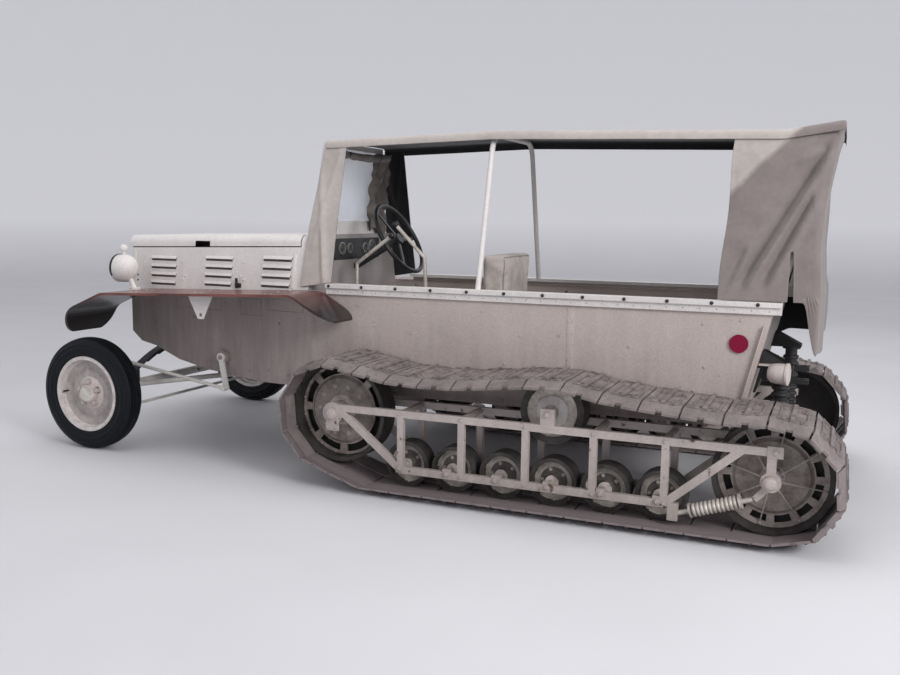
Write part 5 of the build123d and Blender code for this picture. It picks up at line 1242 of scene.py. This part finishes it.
class TRACTOR_OT_wheel_fittings(bpy.types.Operator):
    """Bolt up the front wheels, sprockets, idlers and rollers"""
    bl_idname = "tractor.wheel_fittings"
    bl_label = "Wheel fittings"

    def execute(self, context):
        for side, label in zip(SIDES, ("left", "right")):
            outwards = (0, side, 0)
            nuts = bmesh.new()
            for at in circle(FRONT_AXLE, 0.053, 5, side * (HALF_TREAD + 0.0225), 0.3):
                bolt(nuts, at, outwards, 0.0120, 0.016)
            for at in circle(FRONT_AXLE, 0.018, 3, side * (HALF_TREAD + 0.0452)):
                rivet(nuts, at, outwards, 0.003, 0.002)
            finished(f"wheel_nuts_{label}", nuts, gear_paint(), f"front_wheel_{label}")
            valve = bmesh.new()
            foot = shifted(FRONT_AXLE, side * (HALF_TREAD + 0.010)) + Vector((0.138, 0.0, 0.0))
            lathe(valve, TYRE_VALVE, foot, outwards, steps=12)
            finished(f"tyre_valve_{label}", valve, black_iron(), f"front_wheel_{label}")
        bolts = bmesh.new()
        spokes = bmesh.new()
        backs = bmesh.new()
        caps = bmesh.new()
        for side in SIDES:
            outwards = (0, side, 0)
            for at in circle(SPROCKET, 0.100, 10, side * 0.6372):
                bolt(bolts, at, outwards, 0.0068, 0.007)
            for at in circle(SPROCKET, 0.183, 16, side * 0.6252, math.pi / 16):
                rivet(bolts, at, outwards, 0.0048, 0.004)
            for inner, outer in zip(circle(IDLER, 0.036, 8, side * 0.6685, 0.2),
                                    circle(IDLER, 0.172, 8, side * 0.6180, 0.2)):
                run = outer - inner
                peg(spokes, facing(inner, run), 0.0027, 0.0024, 0.0, run.length, 8)
                rivet(spokes, outer, outwards, 0.006, 0.005)
            for at in circle(ROLLER, 0.082, 6, side * 0.6492):
                bolt(bolts, at, outwards, 0.006, 0.006)
            for wheel in range(6):
                centre = Vector((ROAD_FIRST + ROAD_STEP * wheel, 0.0, ROAD_Z))
                for at in circle(centre, 0.044, 5, side * 0.6213):
                    bolt(bolts, at, outwards, 0.005, 0.006)
            # Near-black discs behind the wheel windows: painted shade.
            for centre, hub, rim in WHEEL_SHADE_DISCS:
                disc = ((hub, 0.0), (rim, 0.0), (rim, 0.003), (hub, 0.003), (hub, 0.0))
                lathe(backs, disc, shifted(centre, side * 0.590), outwards, steps=64)
            lathe(caps, ROLLER_CAP, shifted(ROLLER, side * 0.6462), outwards, steps=48)
        finished("wheel_bolts", bolts, gear_paint())
        finished("wheel_shade_discs", backs,
                 known("shaded_steel", plain_metal, (0.030, 0.026, 0.026), 0.2, 0.6, 0.85))
        finished("roller_caps", caps, bonnet_paint())
        finished("idler_spokes", spokes, wire_steel())
        return {"FINISHED"}


# Beads on the middle of each shoe: distance across, step along the track, size.
SHOE_BEADS = ((0.616, 0.044, (0.006, 0.150, 0.006)), (0.616, -0.044, (0.006, 0.150, 0.006)),
              (0.688, 0.0, (0.082, 0.006, 0.006)), (0.462, 0.0, (0.096, 0.008, 0.006)))
CROSS_BAR_WIDTH = 0.014


def shoe_places(node):
    """Middle and outward direction of each track shoe, read from the top faces of its cross bars."""
    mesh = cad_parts[node].data
    found = []
    for face in mesh.polygons:
        corners = [mesh.vertices[i].co for i in face.vertices]
        across = max(corner.y for corner in corners) - min(corner.y for corner in corners)
        if abs(face.normal.y) > 0.01 or across < 0.28:
            continue
        width = face.area * 2 / across
        if abs(width - CROSS_BAR_WIDTH) > 0.0008:
            continue
        middle = sum(corners, Vector()) / 3
        if all((other - middle).xz.length >= 0.02 for other, _ in found):
            found.append((middle, face.normal.copy()))
    return found


class TRACTOR_OT_track_shoes(bpy.types.Operator):
    """Fasten the track shoes: bolted clip plates and raised beads on each shoe"""
    bl_idname = "tractor.track_shoes"
    bl_label = "Track shoe fittings"

    def execute(self, context):
        for side, label in zip(SIDES, ("left", "right")):
            heads = bmesh.new()
            clips = bmesh.new()
            for middle, out in shoe_places(f"track_{label}"):
                along = Vector((-out.z, 0.0, out.x))
                foot = middle - out * 0.008
                turn = Matrix((along, Vector((0, 1, 0)), out)).transposed()
                for y in (0.527, 0.705):
                    for step in (-0.036, 0.036):
                        at = shifted(foot, side * y) + along * step
                        plate(clips, at + out * 0.0015, (0.026, 0.052, 0.004), turn)
                        for spread in (-0.017, 0.017):
                            bolt(heads, at + Vector((0, spread, 0)) + out * 0.003, out, 0.0056, 0.0045)
                for y, step, size in SHOE_BEADS:
                    plate(clips, shifted(foot, side * y) + along * step + out * 0.002, size, turn)
            shoe = bpy.data.materials["shoe_steel"]
            finished(f"shoe_bolts_{label}", heads, shoe, smooth=False)
            finished(f"shoe_ribs_{label}", clips, shoe)
        return {"FINISHED"}


# Bolts of the hull frames and track brackets behind the taper, and of the forward side, as (x, z).
SIDE_BOLTS = ((-1.215, 0.70), (-1.225, 0.545), (-1.19, 0.455), (-0.95, 0.60), (-0.52, 0.615),
              (-0.36, 0.705),
              (-0.46, 0.50), (-0.05, 0.60), (0.12, 0.62), (0.20, 0.705), (0.36, 0.64), (-1.345, 0.72),
              (-1.29, 0.43))
NOSE_BOLTS = ((0.55, 0.375), (0.66, 0.388), (0.77, 0.375), (0.86, 0.372), (1.02, 0.40), (0.60, 0.60),
              (1.10, 0.60), (1.34, 0.56), (1.39, 0.47), (1.24, 0.44))
# Raised outlines in the forward side: rear, front, lower and upper edge.
PRESSED_OUTLINES = ((0.47, 0.66, 0.655, 0.705), (0.70, 0.82, 0.628, 0.700), (0.93, 1.20, 0.640, 0.690))
MIDDLE_JOINT = -0.723
FRONT_JOINT = 0.418


def side_lean(side):
    """A turn that lays a plate along the tapering forward side."""
    return Matrix.Rotation(-side * math.atan((HULL_HALF - NOSE_HALF) / (NOSE_X - TAPER_X)), 3, "Z")


class TRACTOR_OT_tub_fittings(bpy.types.Operator):
    """Add the tub's seams, flanges, fasteners and bolts"""
    bl_idname = "tractor.tub_fittings"
    bl_label = "Tub fittings"

    def execute(self, context):
        sizes = fittings()
        trim = bmesh.new()
        heads = bmesh.new()
        snaps = bmesh.new()
        low = FLOOR_Z + 0.012
        high = SIDE_TOP - 0.052
        flange = Vector((tail_x(high) - tail_x(low), 0.0, high - low))
        for side in SIDES:
            outwards = (0, side, 0)
            # Flange along the sloping tail edge, and the upright joints in the side.
            turn = flange.to_track_quat("Z", "Y").to_matrix() @ Matrix.Rotation(math.pi / 2, 3, "Z")
            middle = ((tail_x(low) + tail_x(high)) / 2 + 0.016, side * (HULL_HALF + 0.0016),
                      (low + high) / 2)
            plate(trim, middle, (0.003, 0.028, flange.length), turn)
            for x in (MIDDLE_JOINT, FRONT_JOINT):
                plate(trim, (x, side * (HULL_HALF + 0.0005), 0.545), (0.028, 0.0011, 0.395), bevel=0.0004)
            for k in range(9):
                z = 0.365 + k * 0.0455
                for x in (MIDDLE_JOINT - 0.010, MIDDLE_JOINT + 0.010, FRONT_JOINT):
                    at = (x, side * (HULL_HALF + 0.0016), z)
                    rivet(heads, at, outwards, sizes.rivet_radius * 0.7, 0.0018)
            for k in range(7):
                z = 0.375 + k * 0.052
                at = (tail_x(z) + 0.016, side * (HULL_HALF + 0.003), z)
                rivet(heads, at, outwards, sizes.rivet_radius, 0.0022)
            # Bolts of the floor, hull frames and the track brackets.
            for k in range(15):
                bolt(heads, (-1.28 + 0.118 * k, side * HULL_HALF, 0.352), outwards, sizes.bolt_radius * 0.8,
                     0.004)
            for x, z in SIDE_BOLTS:
                bolt(heads, (x, side * HULL_HALF, z), outwards, sizes.bolt_radius * 0.7, 0.0035)
            for x, z in NOSE_BOLTS:
                tapered = Vector((0.0896, side, 0)).normalized()
                bolt(heads, (x, side * half_width(x), z), tapered, sizes.bolt_radius * 0.8, 0.004)
            for rear, front, foot, head in PRESSED_OUTLINES:
                level = (front - rear, 0.004, 0.006)
                upright = (0.006, 0.004, head - foot)
                for x, z, size in (((rear + front) / 2, foot, level), ((rear + front) / 2, head, level),
                                   (rear, (foot + head) / 2, upright), (front, (foot + head) / 2, upright)):
                    plate(trim, (x, side * half_width(x), z), size, side_lean(side), bevel=0.0018)
            # Fasteners for the side curtains along the rail, and the rivets under it.
            for k in range(12):
                snap = Vector((-1.40 + 0.157 * k, side * (HULL_HALF + RAIL_OUT), RAIL_TOP - 0.008))
                rivet(snaps, snap, outwards, sizes.snap_radius, 0.0045)
                rivet(snaps, snap + Vector((0, side * 0.003, 0)), outwards, sizes.snap_radius * 0.5, 0.003)
            for k in range(30):
                at = (-1.44 + 0.0595 * k, side * (HULL_HALF + 0.012), RAIL_TOP - 0.030)
                rivet(heads, at, outwards, sizes.rivet_radius * 0.8, 0.002)
        finished("tub_trim", trim, tub_paint())
        finished("tub_bolts", heads, tub_paint(), smooth=False)
        finished("curtain_fasteners", snaps, black_iron())
        return {"FINISHED"}


# Screws along the lower edge of each bonnet side, and bolts higher up in it, as (x, z).
EDGE_SCREWS = (1.47, 1.35, 1.19, 1.12, 1.05, 0.86, 0.79, 0.72, 0.53)
HOOD_BOLTS = ((1.172, 0.855), (1.150, 0.79), (1.163, 0.775), (0.815, 0.862), (0.822, 0.80), (0.802, 0.785))
LATCH_X = 0.831


class TRACTOR_OT_bonnet_fittings(bpy.types.Operator):
    """Add the bonnet's latches, edge beads, painted shadow strips under the louvres, and screws"""
    bl_idname = "tractor.bonnet_fittings"
    bl_label = "Bonnet fittings"

    def execute(self, context):
        sizes = fittings()
        beads = bmesh.new()
        screws = bmesh.new()
        latches = bmesh.new()
        louvre_shadows = bmesh.new()
        lid = bmesh.new()
        for side in SIDES:
            raised = (0, side, 0.1)
            # Upright bead at the nose and at the cowl, screws along the bonnet side.
            for x in (1.470, 0.530):
                low = side_top(x) + 0.006
                high = 0.905
                run = Vector((0.0, side * (hood_half(x, high) - hood_half(x, low)), high - low))
                middle = (x, side * (hood_half(x, (low + high) / 2) + 0.0008), (low + high) / 2)
                plate(beads, middle, (0.016, 0.003, run.length), run.to_track_quat("Z", "Y").to_matrix())
            for x in EDGE_SCREWS:
                z = side_top(x) + 0.014
                rivet(screws, (x, side * hood_half(x, z), z), raised, sizes.rivet_radius * 0.8, 0.0022)
            for x, z in HOOD_BOLTS:
                bolt(screws, (x, side * hood_half(x, z), z), raised, sizes.bolt_radius * 0.6, 0.004)
            # A near-black strip under the lip of every louvre: painted shadow.
            for rear, front in LOUVRE_RUNS:
                x = (rear + front) / 2
                for row in range(LOUVRE_ROWS):
                    z = seam_z(x) - LOUVRE_LIP - row * LOUVRE_PITCH
                    start = Vector((rear + 0.003, side * hood_half(rear + 0.003, z), z))
                    end = Vector((front - 0.003, side * hood_half(front - 0.003, z), z))
                    along = (end - start).normalized()
                    rise = Vector((0, side * (hood_half(x, z + 0.01) - hood_half(x, z)), 0.01)).normalized()
                    turn = Matrix((along, rise.cross(along), rise)).transposed()
                    plate(louvre_shadows, (start + end) / 2, ((end - start).length, 0.0024, 0.009), turn,
                          bevel=0.0008)
            # Spring latch between side and tub, and the studs behind the nose bead.
            z = side_top(LATCH_X) + 0.020
            at = Vector((LATCH_X, side * (hood_half(LATCH_X, z) + 0.003), z))
            plate(latches, at, (0.034, 0.006, 0.020), side_lean(side))
            plate(latches, at + Vector((0.004, side * 0.006, 0.010)), (0.011, 0.008, 0.046),
                  side_lean(side))
            rivet(latches, at + Vector((-0.010, side * 0.003, 0)), (0, side, 0), 0.004, 0.003)
            for z in (0.760, 0.785, 0.815):
                rivet(latches, (1.452, side * hood_half(1.452, z), z), raised, 0.005, 0.003)
            # Screws along the lid's edge, but not at its middle joint.
            for k in range(14):
                x = 0.56 + 0.069 * k
                z = seam_z(x) + 0.012
                if not 1.0 < x < 1.11:
                    rivet(lid, (x, side * hood_half(x, z), z), raised, sizes.rivet_radius * 0.75, 0.002)
        finished("bonnet_beads", beads, bonnet_paint())
        finished("bonnet_screws", screws, bonnet_paint(), smooth=False)
        finished("bonnet_latches", latches, black_iron())
        finished("louvre_shadow_strips", louvre_shadows,
                 known("sooty_felt", plain_metal, (0.085, 0.075, 0.075), 0.0, 0.7, 0.9))
        # The lifting handle and the lid's screws move with the lid.
        plate(lid, (1.5045, 0.0, 0.945), (0.004, 0.11, 0.016))
        finished("lid_screws", lid, bonnet_paint(), "hood_lid")
        return {"FINISHED"}


# Turned profiles of the lamps, as (radius, height).
LAMP_RIM = ((0.0575, 0.024), (0.0575, 0.031), (0.060, 0.0345), (0.0640, 0.0335), (0.0658, 0.029),
            (0.0658, 0.020), (0.0652, 0.020))
LAMP_BOSS = ((0.0, 0.031), (0.010, 0.0315), (0.016, 0.0345), (0.010, 0.0375), (0.0, 0.0385))
TAIL_LAMP = ((0.0, -0.038), (0.022, -0.036), (0.034, -0.024), (0.037, -0.004), (0.037, 0.024),
             (0.040, 0.026), (0.040, 0.033), (0.034, 0.035), (0.0, 0.037))
HEADLAMP = Vector((1.432, 0.4502, 0.8231))


class TRACTOR_OT_lamp_fittings(bpy.types.Operator):
    """Fit the headlamp rims and bosses, and the tail lamp"""
    bl_idname = "tractor.lamp_fittings"
    bl_label = "Lamp fittings"

    def execute(self, context):
        rims = bmesh.new()
        bosses = bmesh.new()
        for side in SIDES:
            at = shifted(HEADLAMP, side * HEADLAMP.y)
            lathe(rims, LAMP_RIM, at, (1, 0, 0), steps=56)
            lathe(bosses, LAMP_BOSS, at, (1, 0, 0), steps=24)
        finished("lamp_rims", rims, black_iron())
        finished("lamp_bosses", bosses, bonnet_paint())
        # Tail lamp on the left of the tail, on its bracket.
        lamp = bmesh.new()
        lathe(lamp, TAIL_LAMP, (-1.479, 0.400, 0.534), (-1, 0.15, 0), steps=40)
        plate(lamp, (-1.446, 0.378, 0.560), (0.076, 0.040, 0.006))
        finished("tail_lamp", lamp, gear_paint())
        return {"FINISHED"}


class TRACTOR_OT_fender_fittings(bpy.types.Operator):
    """Screw the fender boards to their brackets"""
    bl_idname = "tractor.fender_fittings"
    bl_label = "Fender fittings"

    def execute(self, context):
        screws = bmesh.new()
        slope = (FENDER_FRONT[1] - FENDER_REAR[1]) / (FENDER_FRONT[0] - FENDER_REAR[0])
        for side in SIDES:
            for x in (0.500, FENDER_MIDDLE, 1.260):
                z = FENDER_REAR[1] + (x - FENDER_REAR[0]) * slope
                for out in (0.030, 0.120, 0.225):
                    for offset in (-0.016, 0.016):
                        at = (x + offset, side * (half_width(x) + out), z)
                        rivet(screws, at, (0, 0, 1), 0.0045, 0.0024)
        finished("fender_screws", screws, bright_steel())
        return {"FINISHED"}


# The instrument panel, its dials as (y, radius), and the rolled flap above the windscreen.
PANEL_X = 0.437
DIAL_Z = 0.928
DIALS = ((0.145, 0.026), (0.075, 0.020), (-0.075, 0.020), (-0.145, 0.034))
FLAP_X = 0.400
FLAP_Z = 1.352
FLAP_TIES = (-0.15, 0.15)
FLAP_TIE = ((0.0125, -0.006), (0.0140, -0.006), (0.0140, 0.006), (0.0125, 0.006), (0.0125, -0.006))
CURTAIN_FLAT = (0.300, 0.360)


def dial(index, y, radius):
    """The face of one instrument, with a UV map that runs from -1 to 1 across it."""
    face = bmesh.new()
    bmesh.ops.create_circle(face, cap_ends=True, cap_tris=True, segments=40, radius=radius)
    layer = face.loops.layers.uv.new("dial")
    for tri in face.faces:
        for loop in tri.loops:
            loop[layer].uv = (loop.vert.co.x / radius, loop.vert.co.y / radius)
    bmesh.ops.transform(face, matrix=facing((PANEL_X - 0.0025, y, DIAL_Z), (-1, 0, 0)), verts=face.verts[:])
    finish = known("dial_ticks", dial_face, (0.02, 0.02, 0.02), (0.75, 0.72, 0.62))
    finished(f"dial_{index}", face, finish, recalculate=False)


def hanging_curtain(u, v):
    """A loose curtain bunched over the right half of the windscreen."""
    left = -0.140 + 0.060 * (1 - v) - 0.055 * (1 - v) ** 3
    right = -0.262 - 0.045 * (1 - v)
    y = left + (right - left) * u
    z = 1.000 + 0.370 * v + 0.022 * math.sin(7 * u) * (1 - v)
    x = 0.408 + 0.013 * math.sin(u * 27 + 3.0 * v) + ripple(y, z, 0.035, 0.020, 9.1) + 0.03 * (1 - v)
    return Vector((x, y, z))


def roll_flap():
    """A rolled flap of canvas, tied up under the front edge of the top."""
    flap = bmesh.new()
    bmesh.ops.create_cone(flap, cap_ends=True, segments=28, radius1=0.017, radius2=0.017, depth=0.50,
                          matrix=facing((FLAP_X, 0.0, FLAP_Z), (0, 1, 0)))
    lengthways = []
    for edge in flap.edges:
        if abs(edge.verts[0].co.y - edge.verts[1].co.y) > 0.1:
            lengthways.append(edge)
    bmesh.ops.subdivide_edges(flap, edges=lengthways, cuts=46)
    for vert in flap.verts:
        offset = Vector((vert.co.x - FLAP_X, 0, vert.co.z - FLAP_Z))
        pinch = 1.0 - 0.35 * math.exp(-((abs(vert.co.y) - FLAP_TIES[1]) / 0.012) ** 2)
        wobble = 1.0 + 0.22 * noise.noise(Vector((vert.co.y * 26, offset.x * 60, offset.z * 60)))
        sag = 0.010 * (1 - (vert.co.y / 0.25) ** 2)
        vert.co = Vector((FLAP_X, vert.co.y, FLAP_Z - sag)) + offset * pinch * wobble
    rolled = finished("rolled_flap", flap, flap_canvas())
    ties = bmesh.new()
    for y in FLAP_TIES:
        lathe(ties, FLAP_TIE, (FLAP_X, y, FLAP_Z - 0.0045), (0, 1, 0), steps=24)
    finished("flap_ties", ties, black_iron())


class TRACTOR_OT_cockpit(bpy.types.Operator):
    """Fit the instruments, lever knobs, the rolled flap over the windscreen and the stowed curtain"""
    bl_idname = "tractor.cockpit"
    bl_label = "Cockpit"

    def execute(self, context):
        panel = bmesh.new()
        plate(panel, (PANEL_X + 0.0035, 0.0, 0.925), (0.007, 0.460, 0.095), bevel=0.003)
        for y in (-0.21, 0.21):
            for z in (0.890, 0.960):
                rivet(panel, (PANEL_X, y, z), (-1, 0, 0), 0.004, 0.003)
        black = known("panel_black", plain_metal, (0.045, 0.045, 0.048), 0.1, 0.4, 0.6)
        finished("instrument_panel", panel, black)
        rims = bmesh.new()
        for index, (y, radius) in enumerate(DIALS):
            rim = ((radius, 0.0), (radius + 0.0035, 0.0), (radius + 0.003, 0.006), (radius, 0.0065),
                   (radius, 0.0))
            lathe(rims, rim, (PANEL_X, y, DIAL_Z), (-1, 0, 0), steps=32)
            dial(index, y, radius)
        finished("dial_rims", rims, bright_steel())
        knobs = bmesh.new()
        for x, z in ((0.148, 0.992), (0.131, 1.040)):
            bmesh.ops.create_uvsphere(knobs, u_segments=24, v_segments=14, radius=0.0155,
                                      matrix=facing((x, 0.215, z), (-0.8, 0, 0.55)))
        finished("lever_knobs", knobs,
                 known("knob_black", plain_metal, (0.015, 0.015, 0.016), 0.0, 0.15, 0.3))
        roll_flap()
        curtain = cloth_grid("stowed_curtain", 64, 60, CURTAIN_FLAT, hanging_curtain,
                             (flap_canvas(), canvas_lining()), 0.002)
        return {"FINISHED"}


# Ends of the track frame's row of posts, and the bolts of the sprocket's bracket as (x, z) from its middle.
POST_FRONT = -0.137
POST_REAR = IDLER.x + 0.345
BRACKET_Z = 0.278
BRACKET_BOLTS = ((-0.019, 0.0248), (0.019, 0.0248), (-0.019, -0.03844), (0.019, -0.03844))


class TRACTOR_OT_frame_fittings(bpy.types.Operator):
    """Bolt up the track frames and axles"""
    bl_idname = "tractor.frame_fittings"
    bl_label = "Track frame fittings"

    def execute(self, context):
        radius = fittings().bolt_radius
        heads = bmesh.new()
        gussets = bmesh.new()
        posts = [POST_FRONT + (POST_REAR - POST_FRONT) * k / 4 for k in range(5)]
        for side in SIDES:
            outwards = (0, side, 0)
            face = side * (FRAME_Y + BAR_HALF)
            for x in posts:
                bolt(heads, (x, face, 0.320), outwards, radius, 0.006)
                bolt(heads, (x, face, 0.100), outwards, radius * 0.85, 0.005)
            plate(gussets, (IDLER.x - 0.010, face + side * 0.001, 0.320), (0.052, 0.003, 0.040))
            bolt(heads, (IDLER.x - 0.012, face + side * 0.002, 0.321), outwards, radius * 1.5, 0.009,
                 sides=4)
            plate(gussets, (SPROCKET.x, face + side * 0.001, BRACKET_Z), (0.060, 0.004, 0.104))
            for x, z in BRACKET_BOLTS:
                at = (SPROCKET.x + x, face + side * 0.003, BRACKET_Z + z)
                bolt(heads, at, outwards, radius * 0.75, 0.006)
            for wheel in range(6):
                bolt(heads, (ROAD_FIRST + ROAD_STEP * wheel, face, ROAD_Z), outwards, radius * 1.4, 0.010)
            bolt(heads, shifted(ROLLER, face), outwards, radius * 1.6, 0.012)
            dome(heads, shifted(IDLER, face + side * 0.022), side, 0.0215)
            dome(heads, shifted(SPROCKET, face + side * 0.016), side, 0.023)
        finished("frame_bolts", heads, gear_paint())
        finished("frame_gussets", gussets, gear_paint())
        return {"FINISHED"}


# The floor runs out flat, then sweeps up all round as a seamless backdrop.
FLOOR_DROP = -0.0005
FLOOR_FLAT = 12.0
FLOOR_SWEEP = 7.0
FLOOR_WALL = 9.0
# Soft lights: name, power, size, place, and the place that it faces.
LIGHTS = (("overhead", 84.0, 3.6, (-0.2, 0.2, 5.2), (0.0, 0.0, 0.5)),
          ("rear_key", 260.0, 2.0, (-5.6, 3.6, 3.3), (-0.9, 0.1, 0.9)),
          ("front_fill", 20.0, 4.0, (4.6, 4.0, 2.8), (0.3, 0.0, 0.6)),
          ("far_fill", 25.0, 4.0, (0.5, -5.5, 3.0), (0.0, 0.0, 0.6)))
SKY = (0.80, 0.80, 0.835, 1)
SKY_STRENGTH = 0.80
# The photograph's own viewpoint.
CAMERA_AT = (-1.671, 3.901, 1.073)
CAMERA_YAW = math.radians(23.539)
CAMERA_PITCH = math.radians(-7.631)
CAMERA_ROLL = math.radians(0.593)
CAMERA_LENS = 37.42
CAMERA_SENSOR = 36.0
CAMERA_SHIFT = (0.01597, 0.00573)


class TRACTOR_OT_stage(bpy.types.Operator):
    """Set the floor, the soft lights and the camera"""
    bl_idname = "tractor.stage"
    bl_label = "Stage"

    def execute(self, context):
        floor = bmesh.new()
        profile = [(0.0, FLOOR_DROP), (4.0, FLOOR_DROP)]
        for k in range(13):
            turn = math.pi / 2 * k / 12
            rise = FLOOR_SWEEP * (1 - math.cos(turn))
            profile.append((FLOOR_FLAT + FLOOR_SWEEP * math.sin(turn), FLOOR_DROP + rise))
        profile.append((FLOOR_FLAT + FLOOR_SWEEP, FLOOR_WALL))
        lathe(floor, profile, (0, 0, 0), (0, 0, 1), steps=96)
        ground = finished("studio_floor", floor, known("floor_pale", studio_floor))
        for name, energy, size, at, aim in LIGHTS:
            light = bpy.data.lights.new(name, "AREA")
            light.energy = energy
            light.size = size
            lamp = bpy.data.objects.new(name, light)
            bpy.context.collection.objects.link(lamp)
            lamp.location = at
            lamp.rotation_euler = (Vector(aim) - Vector(at)).to_track_quat("-Z", "Y").to_euler()
        world = bpy.data.worlds.new("studio")
        world.use_nodes = True
        sky = world.node_tree.nodes["Background"]
        sky.inputs["Color"].default_value = SKY
        sky.inputs["Strength"].default_value = SKY_STRENGTH
        bpy.context.scene.world = world
        bpy.context.scene.view_settings.view_transform = "Standard"
        make_camera()
        return {"FINISHED"}


def make_camera():
    """The camera at the photograph's own viewpoint."""
    level = math.cos(CAMERA_PITCH)
    look = Vector((math.sin(CAMERA_YAW) * level, -math.cos(CAMERA_YAW) * level, math.sin(CAMERA_PITCH)))
    flat_right = look.cross(Vector((0, 0, 1))).normalized()
    flat_up = flat_right.cross(look)
    right = math.cos(CAMERA_ROLL) * flat_right + math.sin(CAMERA_ROLL) * flat_up
    up = math.cos(CAMERA_ROLL) * flat_up - math.sin(CAMERA_ROLL) * flat_right
    data = bpy.data.cameras.new("photograph")
    data.lens = CAMERA_LENS
    data.sensor_width = CAMERA_SENSOR
    data.shift_x = CAMERA_SHIFT[0]
    data.shift_y = CAMERA_SHIFT[1]
    camera = bpy.data.objects.new("photograph", data)
    bpy.context.collection.objects.link(camera)
    turn = Matrix((right, up, -look)).transposed().to_4x4()
    camera.matrix_world = Matrix.Translation(CAMERA_AT) @ turn
    bpy.context.scene.camera = camera


OPERATORS = (TRACTOR_OT_stage, TRACTOR_OT_finishes, TRACTOR_OT_canvas_top, TRACTOR_OT_rear_canvas,
             TRACTOR_OT_front_strips, TRACTOR_OT_seats, TRACTOR_OT_tyres, TRACTOR_OT_wheel_fittings,
             TRACTOR_OT_track_shoes, TRACTOR_OT_frame_fittings, TRACTOR_OT_tub_fittings,
             TRACTOR_OT_bonnet_fittings, TRACTOR_OT_lamp_fittings, TRACTOR_OT_fender_fittings,
             TRACTOR_OT_cockpit)
SETTINGS = (("tractor_colours", TractorColours), ("tractor_canvas", TractorCanvas),
            ("tractor_hardware", TractorHardware))


class TRACTOR_PT_panel(bpy.types.Panel):
    """Lists the settings and the pieces in the 3D view's sidebar"""
    bl_label = "Snow Tractor"
    bl_idname = "TRACTOR_PT_panel"
    bl_space_type = "VIEW_3D"
    bl_region_type = "UI"
    bl_category = "Snow Tractor"

    def draw(self, context):
        for key, group in SETTINGS:
            box = self.layout.box()
            for name in group.__annotations__:
                box.prop(getattr(context.scene, key), name)
        for operator in OPERATORS:
            self.layout.operator(operator.bl_idname)


CLASSES = tuple(group for _, group in SETTINGS) + OPERATORS + (TRACTOR_PT_panel,)


def register():
    for item in CLASSES:
        bpy.utils.register_class(item)
    for key, group in SETTINGS:
        setattr(bpy.types.Scene, key, bpy.props.PointerProperty(type=group))


def unregister():
    for key, _ in SETTINGS:
        delattr(bpy.types.Scene, key)
    for item in reversed(CLASSES):
        bpy.utils.unregister_class(item)


def main():
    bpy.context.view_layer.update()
    register()
    for operator in OPERATORS:
        group, name = operator.bl_idname.split(".")
        getattr(getattr(bpy.ops, group), name)()
    bpy.context.view_layer.update()


if __name__ == "__main__":
    main()
